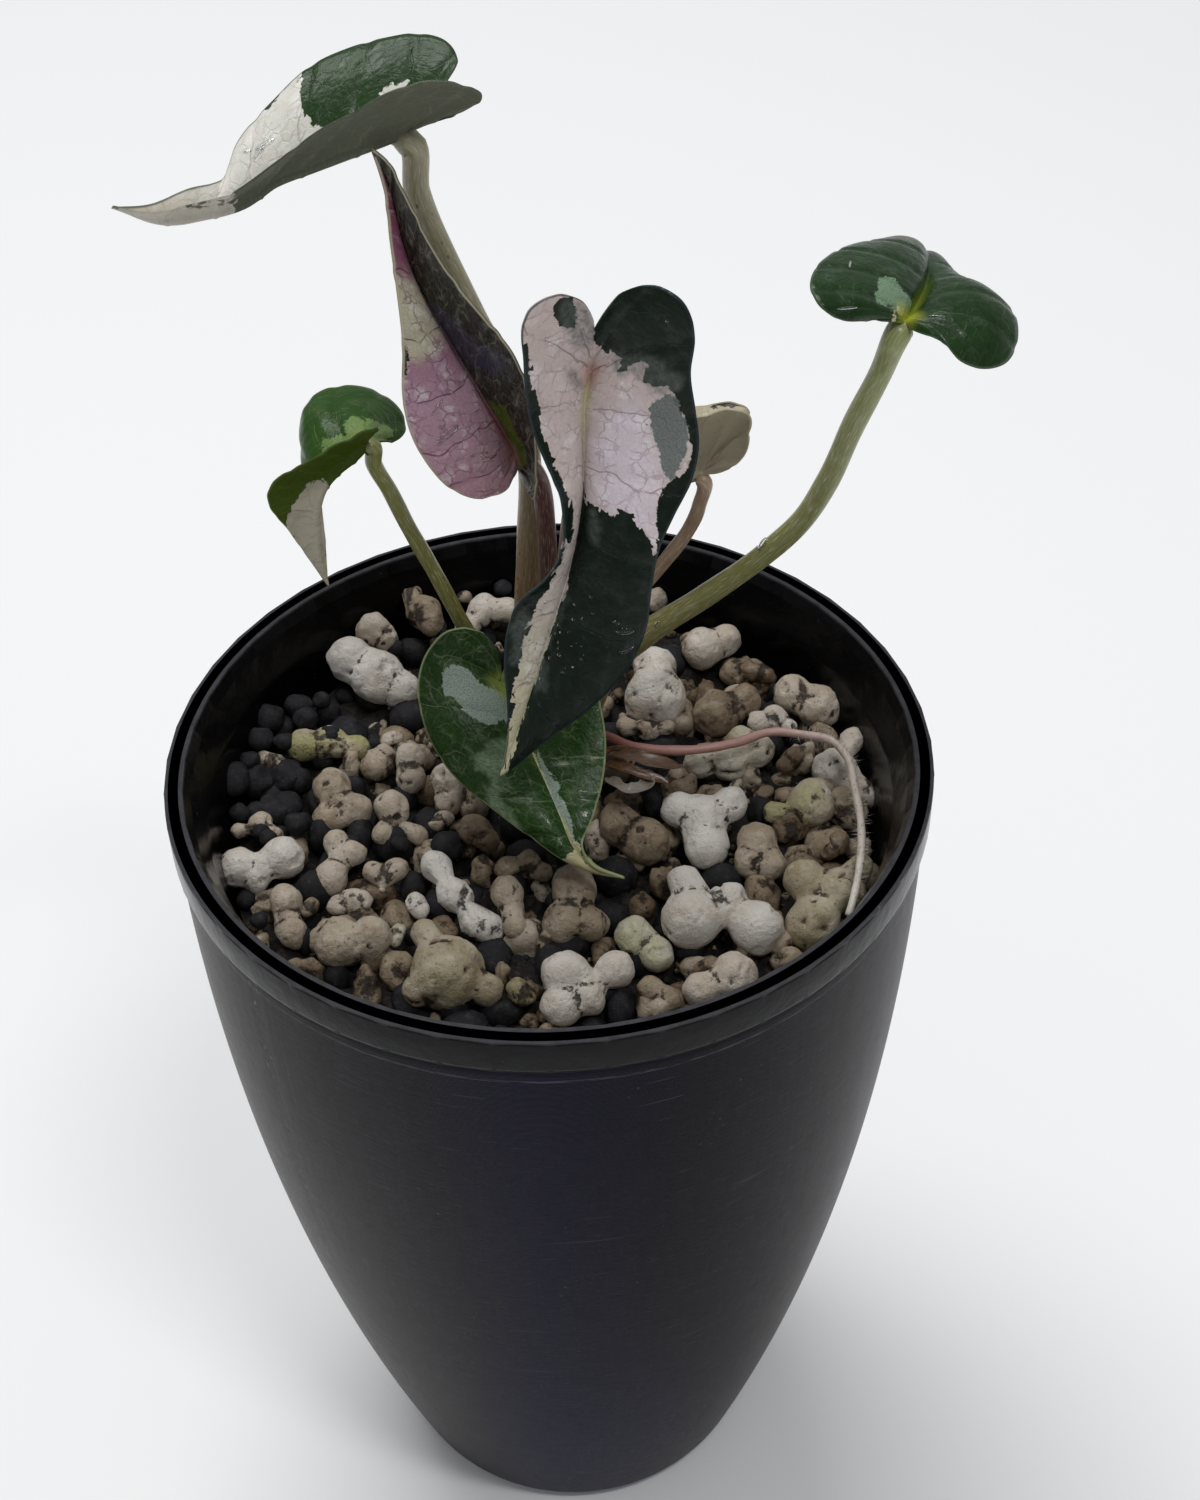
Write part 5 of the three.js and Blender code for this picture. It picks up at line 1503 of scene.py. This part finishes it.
def print_finish():
    """Silky two-colour print: fine level layer lines, faint upright bands, a start-and-stop seam down one
    side, and hues that change round the pot from bronze by indigo and black to violet. The hues are partly
    the silk's own two colours and partly its sheen painted in by the angle round the pot, the bright violet
    on the right side a painted sheen; the pale lines along the lip are painted highlights."""
    paint = Paint("printed_filament", {"Specular IOR Level": 0.07})
    place = paint.place()
    x, y, z = paint.parts(place)
    turn = x.math("ARCTAN2", y * -1.0)
    round_share = turn * (0.5 / np.pi) + 0.5
    ridge = (z * LAYERS_PER_MM).math("PINGPONG", 0.5)
    broken = paint.noise(paint.scaled(place, (0.35, 0.35, 6.0)), 1.0, 3.0, 0.6)
    column = paint.noise(paint.scaled(place, (1.4, 1.4, 0.02)), 1.0, 3.0, 0.6)
    stripe = paint.noise(paint.scaled(place, (4.0, 4.0, 0.05)), 1.0, 2.0, 0.6)
    down = (POT_HEIGHT - z) * (1 / POT_HEIGHT)
    # Colour by the angle round the pot: the silk's own colours with its sheen painted in, the bright violet
    # on the right side a painted sheen.
    silk_hue_and_sheen = paint.ramp(round_share + (column - 0.5) * 0.02, [
        (0.0, "#120a16"), (0.24, "#1c1210"), (0.3, "#24160e"), (0.36, "#100809"), (0.44, "#0a0710"),
        (0.49, "#0c0822"), (0.55, "#090612"), (0.64, "#070509"), (0.7, "#120c1c"), (0.735, "#3a2a63"),
        (0.76, "#5a4a96"),
    ])
    # The same lower on the pot: the silk's colours with its sheen painted in.
    low_silk_hue_and_sheen = paint.ramp(round_share + (column - 0.5) * 0.05, [
        (0.0, "#120a16"), (0.26, "#1a0f0b"), (0.36, "#1b100c"), (0.42, "#0b0708"), (0.48, "#0f0b2c"),
        (0.56, "#0c0822"), (0.6, "#070509"), (0.68, "#160d0c"), (0.74, "#21151c"),
    ])
    silk_hue_and_sheen = paint.mix(paint.step(down + (column - 0.5) * 0.3, 0.4, 0.85), silk_hue_and_sheen, low_silk_hue_and_sheen)
    silk_hue_and_sheen = paint.mix(paint.step(stripe, 0.5, 0.75) * paint.step(down, 0.5, 0.9) * 0.35, silk_hue_and_sheen, linear("#3a3550"))
    glint = paint.step(broken, 0.64, 0.8) * paint.step(paint.noise(place, 0.06, 2.0), 0.48, 0.64)
    colour = paint.mix(glint * 0.16, silk_hue_and_sheen, linear("#5a5666"))
    past_seam = turn + SEAM_TURN
    seam_at = paint.step(past_seam.math("ABSOLUTE"), 0.03, 0.008)
    speck = seam_at * paint.step(paint.noise(paint.scaled(place, (1.0, 1.0, 0.5)), 1.6, 2.0), 0.62, 0.7)
    colour = paint.mix(speck * 0.5, colour, linear("#6c6870"))
    scratch = paint.step(paint.noise(paint.scaled(place, (0.12, 0.12, 2.5)), 1.0, 1.0), 0.72, 0.76)
    colour = paint.mix(scratch * 0.14, colour, linear("#77737e"))
    # Painted highlights: a pale line along the lip's edge and a second one about 2 mm below it.
    lip = paint.step(z, POT_HEIGHT - 0.5, POT_HEIGHT - 0.15)
    highlight_below_lip = paint.step(z, POT_HEIGHT - 1.7, POT_HEIGHT - 1.8)
    lip = lip + highlight_below_lip * paint.step(z, POT_HEIGHT - 2.1, POT_HEIGHT - 2.0)
    colour = paint.mix(lip * paint.step(broken, 0.4, 0.6) * 0.35, colour, linear("#6f6c78"))
    dot = 1 - paint.step(paint.cells(paint.scaled(place, (0.45, 0.45, 0.8)), 1.0), 0.04, 0.09)
    dot = dot * paint.step(paint.noise(place, 0.09, 1.0), 0.56, 0.6)
    colour = paint.mix(dot * 0.4, colour, linear("#8d8a95"))
    paint.wear({
        "Base Color": colour,
        "Roughness": 0.3 + (broken - 0.5) * 0.2 + (column - 0.5) * 0.1,
    })
    relief = ridge * 0.045 + (broken - 0.5) * 0.03 + speck * 0.2 - seam_at * 0.05
    return paint.bump(relief)


def liner_radius(height):
    share = (height - LINER_FLOOR_HEIGHT) / (COLLAR_BOTTOM - LINER_FLOOR_HEIGHT)
    return LINER_FLOOR_RADIUS + (LINER_TOP_RADIUS - LINER_FLOOR_RADIUS) * share


def liner_piece():
    """The liner's outline in section: outside wall, collar, rim, and the inside wall down to its floor.
    The CAD liner keeps its drainage holes, so it stays under this one's open bottom."""
    gap = 0.3
    proud = 0.18
    low = LINER_FLOOR_HEIGHT + 22
    profile = [
        (liner_radius(low) - LINER_WALL / 2, low),
        (liner_radius(low), low + 0.2),
        (liner_radius(COLLAR_BOTTOM - gap), COLLAR_BOTTOM - gap),
        (liner_radius(COLLAR_BOTTOM), COLLAR_BOTTOM),
        (RIM_RADIUS, COLLAR_BOTTOM),
        (RIM_RADIUS, RIM_HEIGHT),
        (RIM_RADIUS - COLLAR_WIDTH, RIM_HEIGHT),
        (RIM_RADIUS - COLLAR_WIDTH - 0.8, RIM_HEIGHT - 1.6),
        (liner_radius(COLLAR_BOTTOM - 1) - LINER_WALL - proud, COLLAR_BOTTOM - 1),
        (liner_radius(low) - LINER_WALL - proud, low + 0.2),
        (liner_radius(low) - LINER_WALL / 2, low),
    ]
    points, faces = turned(rounded(profile, 0.45), 256)
    place_piece(add_piece("liner_collar", points, faces, liner_plastic), "liner_plastic")


def liner_finish():
    """Black moulded plastic: satin on the rim, whose top is painted grey as painted light, darker on the
    walls, with dust and dried spots.
    """
    paint = Paint("liner_plastic", {"Specular IOR Level": 0.13})
    place = paint.place()
    _, _, z = paint.parts(place)
    rim = paint.step(z, RIM_HEIGHT - 0.3, RIM_HEIGHT - 0.05)
    dust = paint.noise(place, 0.9, 5.0, 0.7)
    round_rim = paint.noise(paint.scaled(place, (0.25, 0.25, 3.0)), 1.0, 3.0)
    spots = (1 - paint.step(paint.cells(place, 0.55), 0.03, 0.08)) * paint.step(dust, 0.5, 0.62)
    chips = (1 - paint.step(paint.cells(place, 1.1), 0.03, 0.07)) * paint.step(dust, 0.52, 0.66)
    colour = paint.mix(paint.step(dust, 0.55, 0.85) * 0.4, linear("#060607"), linear("#1a1a1d"))
    # The rim's top is painted lighter grey: painted light on its upward face.
    top = paint.ramp(dust + (round_rim - 0.5) * 0.4, [(0.3, "#2b2b2e"), (0.7, "#3d3d41")])
    colour = paint.mix(rim, colour, top)
    colour = paint.mix(spots * 0.3 + chips * 0.4, colour, linear("#a09d99"))
    paint.wear({
        "Base Color": colour,
        "Roughness": 0.2 + rim * 0.3 + paint.step(dust, 0.55, 0.85) * 0.15,
    })
    return paint.bump((paint.noise(place, 0.35, 3.0) - 0.5) * 0.12 + (dust - 0.5) * 0.02 + spots * 0.06)


def bed_piece():
    """The bed under the stones: a closed body turned about the axis, whose top is a slope roughened by
    noise, with its edge and underside inside the liner."""
    low = LINER_FLOOR_HEIGHT + LINER_WALL + 0.6
    top = [(radius, BED_HEIGHT) for radius in np.linspace(BED_RADIUS, 0, 90)]
    profile = [(0, low), (liner_radius(low) - LINER_WALL - 0.5, low), (BED_RADIUS - 1, BED_HEIGHT - 14), *top]
    points, faces = turned(profile, 180)
    on_top = smoothstep(points[:, 2], BED_HEIGHT - 6, BED_HEIGHT - 1)
    inner = 1 - smoothstep(np.hypot(points[:, 0], points[:, 1]), BED_RADIUS - 3, BED_RADIUS)
    rough = fractal(points * (0.45, 0.45, 0), 3, 4) * 1.3 * inner
    points[:, 2] += on_top * (BED_SLOPE * points[:, 1] + 0.8 + rough)
    place_piece(add_piece("potting_bed", points, faces, bed_finish()), "grit", ["substrate_bed"])


def bed_finish():
    """Wet black grit with brown and grey crumbs."""
    paint = Paint("wet_grit")
    place = paint.place()
    crumbs = paint.noise(place, 1.1, 5.0, 0.75)
    colour = paint.ramp(crumbs, [(0.35, "#060505"), (0.52, "#17120e"), (0.62, "#33281d"), (0.75, "#5f5241")])
    paint.wear({"Base Color": colour, "Roughness": 0.75 - paint.step(crumbs, 0.5, 0.35) * 0.4})
    return paint.bump((crumbs - 0.5) * 1.2)


def root_piece():
    """The aerial root: a tube that lies over the stones and down to the wall, with fine hairs standing
    out of its last two thirds. A hair is a thin cone of three sides."""
    path = even_curve([on_level(pixel, height) for *pixel, height in ROOT_PATH], 160)
    share = np.linspace(0, 1, len(path))
    radii = ROOT_RADIUS * (1.15 - 0.35 * share) * (1 + 0.08 * np.sin(share * 61) * np.sin(share * 23))
    radii[[0, -1]] = 0
    points, faces, skin = tube(path, radii, 14, (0.1, 0.2, 1.0))
    attributes = {"share": skin[:, 2] / skin[:, 2].max()}
    place_piece(add_piece("aerial_root_skin", points, faces, root_finish(), None, attributes), "root",
                ["aerial_root"])

    draw = np.random.default_rng(9)
    start = draw.uniform(0.42, 0.97, HAIR_COUNT)
    at = (start * (len(path) - 1)).astype(int)
    first, second = ring_frames(path, np.array([0.1, 0.2, 1.0]))
    turn = draw.uniform(0, 2 * np.pi, HAIR_COUNT)
    out = np.cos(turn)[:, None] * first[at] + np.sin(turn)[:, None] * second[at]
    lean = unit(out + 0.35 * draw.normal(size=out.shape))
    length = draw.uniform(0.5, 1.7, HAIR_COUNT)[:, None]
    base = path[at] + out * (radii[at] * 0.8)[:, None]
    spread = unit(np.cross(lean, (0.21, 0.38, 0.9)))
    other = np.cross(lean, spread)
    corners = []
    for angle in np.arange(3) * 2 * np.pi / 3:
        corners.append(base + HAIR_RADIUS * (np.cos(angle) * spread + np.sin(angle) * other))
    points = np.stack([*corners, base + lean * length], axis=1).reshape(-1, 3)
    cone = np.array([[0, 1, 3], [1, 2, 3], [2, 0, 3], [2, 1, 0]])
    faces = (np.arange(HAIR_COUNT)[:, None, None] * 4 + cone).reshape(-1, 3)
    hair = Paint("root_hair", {"Roughness": 0.6})
    down = hair.noise(hair.place(), 0.6)
    hair.wear({"Base Color": hair.ramp(down, [(0.3, "#9c9489"), (0.7, "#cfc8be")])})
    place_piece(add_piece("root_hairs", points, faces, hair.bump(down * 0.01)), "root")


def root_finish():
    """Fleshy root, pink where it leaves the crown and white further on, with faint rings."""
    paint = Paint("aerial_root", {"Coat Weight": 0.2, "Coat Roughness": 0.2})
    place = paint.place()
    share = paint.value("share")
    patch = paint.noise(place, 0.7, 3.0)
    colour = paint.ramp(share + (patch - 0.5) * 0.08, [
        (0.0, "#7c4a3e"), (0.12, "#a8756a"), (0.4, "#b08a80"), (0.52, "#b5a79c"), (1.0, "#c9c3b8"),
    ])
    colour = paint.mix(paint.step(patch, 0.5, 0.75) * 0.4, colour, linear("#8b6f5c"))
    paint.wear({"Base Color": colour, "Roughness": 0.4 + patch * 0.15})
    return paint.bump((paint.noise(place, 2.4, 3.0) - 0.5) * 0.08)


def ribbon(path, width, thickness, curl, seed):
    """A strip along a path, curled across its width: a closed section of an arc and its offset, carried
    along the path and fading to a ragged point at both ends."""
    path = even_curve(path, 60)
    first, second = ring_frames(path, np.array([0.0, 0.0, 1.0]))
    share = np.linspace(0, 1, len(path))
    fade = np.sqrt(np.clip(np.minimum(share / 0.12, (1 - share) / 0.2), 0, 1))
    torn = 1 + 0.25 * value_noise(np.stack([share * 9, share * 0, share * 0], -1), seed)
    across = np.concatenate([np.linspace(-1, 1, 12), np.linspace(1, -1, 12)])
    layer = np.repeat([1.0, -1.0], 12) * (1 - np.abs(across) ** 6)
    side = (width / 2) * (fade * torn)[:, None] * across
    lift = (width / 2) * (fade * torn)[:, None] * curl * across ** 2 + thickness / 2 * layer * fade[:, None]
    grid = path[:, None] + side[..., None] * second[:, None] + lift[..., None] * first[:, None]
    points, faces, _, _ = merged(grid.reshape(-1, 3), grid_triangles(*grid.shape[:2], wrap=True))
    return points, faces


def husk_pieces():
    """The withered leaf sheath: two dark strips and a paler, thinner loop beside the crown."""
    strips = [
        ([(7.6, 7.2, 117.8), (9.4, 5.6, 118.8), (11.8, 4, 119.2), (14, 3.6, 118.9),
          (15.8, 3.9, 118.2)], 2.2, 0.3),
        ([(6.4, 6.0, 117.0), (8.6, 3.6, 118.4), (11.2, 1.8, 118.7), (14.2, 1.2, 118.0)], 1.5, 0.6),
        ([(5.2, 8.6, 116.6), (8.0, 7.9, 118.2), (11.0, 6.2, 119.0), (13.0, 5.6, 118.8)], 1.2, -0.5),
    ]
    parts = [ribbon(path, width, 0.14, curl, number) for number, (path, width, curl) in enumerate(strips)]
    place_piece(add_piece("withered_sheath", *joined(parts), husk_finish("husk", "#20120a", "#6b4a2a")),
                "husk", ["dry_sheath"])
    loop = [(7.0, 3.4, 117.2), (7.6, 1.0, 118.5), (9.4, -0.8, 118.9), (11.4, 0.2, 118.6), (11.2, 2.6, 118.3),
            (9.4, 3.8, 118.6)]
    skin = husk_finish("skin", "#5a5048", "#8f877b")
    place_piece(add_piece("sheath_loop", *ribbon(loop, 1.6, 0.12, 0.5, 7), skin), "husk")


def husk_finish(name, low, high):
    paint = Paint(f"sheath_{name}", {"Coat Weight": 0.4, "Coat Roughness": 0.2, "Roughness": 0.4})
    place = paint.place()
    fibre = paint.noise(paint.scaled(place, (0.4, 2.5, 2.0)), 1.2, 4.0, 0.7)
    paint.wear({"Base Color": paint.ramp(fibre, [(0.3, low), (0.7, high)])})
    return paint.bump((fibre - 0.5) * 0.12)


def crown_piece():
    """The crown: a low lumpy dome, ringed by old leaf scars, that the stalks grow out of."""
    low, high = (np.array(corner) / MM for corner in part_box("crown"))
    middle, half = (low + high) / 2, (high - low) / 2
    directions, faces = ball(36, 48, (0.0, 0.0, 1.0))
    scars = 1 + 0.05 * np.abs(np.sin(directions[:, 2] * 9)) + 0.06 * value_noise(directions * 2.2, 4)
    size = (half[0], half[1], high[2] - low[2])
    points = (middle[0], middle[1], low[2]) + directions * size * scars[:, None]
    points[:, 2] = np.clip(points[:, 2], low[2], high[2])
    paint = Paint("crown", {"Roughness": 0.6})
    place = paint.place()
    bark = paint.noise(paint.scaled(place, (0.5, 0.5, 2.0)), 0.9, 5.0, 0.65)
    paint.wear({"Base Color": paint.ramp(bark, [(0.3, "#3a2c1c"), (0.55, "#6b5a3c"), (0.75, "#8f8158")])})
    piece = add_piece("crown_bark", points, faces, paint.bump((bark - 0.5) * 0.4))
    place_piece(piece, "stalk", ["crown"])


def drop_points(spot, normal, length, width, turn):
    """A drop of water lying on a surface: half a ball, flattened and drawn out, just sunk into it."""
    directions, faces = ball(9, 14, (0.0, 0.0, 1.0))
    shape = directions * (length, width, 0.42 * min(length, width) + 0.05)
    shape[:, 2] = np.maximum(shape[:, 2], -0.03)
    sideways = unit(RIGHT - (RIGHT @ normal) * normal)
    upwards = np.cross(normal, sideways)
    angle = np.radians(turn)
    along = np.cos(angle) * sideways + np.sin(angle) * upwards
    other = np.cross(normal, along)
    return spot + shape @ np.stack([along, other, normal]), faces


def seen_at(pixel, surface):
    """The point of a surface nearest the camera that shows at a pixel, with its normal."""
    points, normals = surface
    pixels, depth = to_pixels(points)
    away = np.linalg.norm(pixels - pixel, axis=1)
    close = away < max(4.0, away.min() + 0.5)
    best = np.flatnonzero(close)[np.argmin(depth[close])]
    toward = unit(CAMERA_AT - points[best])
    normal = normals[best] if normals[best] @ toward > 0 else -normals[best]
    return points[best], normal


def water_piece(surfaces):
    parts = []
    for name, drops in DROPS.items():
        for pixel, length, width, turn in drops:
            spot, normal = seen_at(pixel, surfaces[name])
            parts.append(drop_points(spot, normal, length, width, turn))
    draw = np.random.default_rng(3)
    for _ in range(MIST["count"]):
        pixel = np.array(MIST["middle"]) + draw.normal(size=2) * MIST["spread"]
        spot, normal = seen_at(pixel, surfaces[MIST["leaf"]])
        size = draw.uniform(*MIST["radius"])
        parts.append(drop_points(spot, normal, size, size, 0))
    water = Paint("water", {"Roughness": 0.02, "IOR": 1.33, "Transmission Weight": 1.0})
    ripple = water.noise(water.place(), 1.5)
    water.wear({"Base Color": water.ramp(ripple, [(0.0, "#f2f6f8"), (1.0, "#ffffff")])})
    place_piece(add_piece("water_drops", *joined(parts), water.bump(ripple * 0.01)))


def stand(item, right, up, back, place):
    """Puts a camera or light at a place, with its own axes in the given directions."""
    axes = np.eye(4)
    for column, values in enumerate((right, up, back, np.array(place) * MM)):
        axes[:3, column] = values
    item.matrix_world = Matrix(axes.tolist())
    bpy.context.scene.collection.objects.link(item)


def make_camera():
    data = bpy.data.cameras.new("camera")
    data.sensor_fit = "AUTO"
    data.sensor_width = SENSOR
    data.lens = FOCAL_PIXELS * SENSOR / IMAGE.max()
    data.clip_start = 0.01
    camera = bpy.data.objects.new("camera", data)
    stand(camera, RIGHT, UP, -FORWARD, CAMERA_AT)
    bpy.context.scene.camera = camera


def add_light(name, place, size, strength, aim=(0, 0, 110)):
    """A rectangular soft light that faces a point, both in millimetres. strength is how white a white
    surface facing it there becomes."""
    data = bpy.data.lights.new(name, "AREA")
    data.shape = "RECTANGLE"
    data.size, data.size_y = (side * MM for side in size)
    away = (np.array(place) - aim) * MM
    data.energy = strength * np.pi ** 2 * (away @ away)
    light = bpy.data.objects.new(name, data)
    back = unit(away)
    side = unit(np.cross((0.0, 1.0, 0.1), back))
    stand(light, side, np.cross(back, side), back, place)


def make_stage():
    """A plain pale floor, a large soft light overhead, a smaller bright one, and an even surround."""
    half = 3000
    corners = np.array([(-half, -half, 0), (half, -half, 0), (half, half, 0), (-half, half, 0)], float)
    paint = Paint("floor", {"Roughness": 0.9, "Specular IOR Level": 0.1})
    paint.wear({"Base Color": (0.96, 0.96, 0.96, 1.0)})
    floor = add_piece("floor", corners, np.array([[0, 1, 2], [0, 2, 3]]), paint.material)
    add_light("overhead", (-260, 420, 1500), (900, 700), 0.62)
    add_light("lamp", (190, -330, 900), (220, 70), 0.22)
    world = bpy.data.worlds.new("surround")
    world.use_nodes = True
    world.node_tree.nodes["Background"].inputs["Color"].default_value = (0.95, 0.97, 1.0, 1.0)
    world.node_tree.nodes["Background"].inputs["Strength"].default_value = 0.34
    bpy.context.scene.world = world
    bpy.context.scene.view_settings.view_transform = "Standard"


make_camera()
make_stage()

pumice = pumice_finish()
black_bead = bead_finish()
liner_plastic = liner_finish()

outer_pot_piece()
liner_piece()
bed_piece()
crown_piece()

for number in range(1, len(STONES) + 1):
    stone_piece(number)
for number in range(1, len(SMALL_STONES) + 1):
    small_stone_piece(number)
for number in range(1, LARGE_BEADS + 1):
    large_bead_piece(number)
loose_beads()
grit_pieces()

# The skin of each leaf and stalk, for the drops that lie on them
surfaces = {}
for letter in LEAVES:
    surfaces[f"leaf_{letter}"] = leaf_piece(letter)
    surfaces[f"petiole_{letter}"] = stalk_piece(letter)
root_piece()
husk_pieces()
water_piece(surfaces)

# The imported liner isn't replaced, so it wears the collar's finish
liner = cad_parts["liner_pot"]
liner.data.materials.clear()
liner.data.materials.append(liner_plastic)
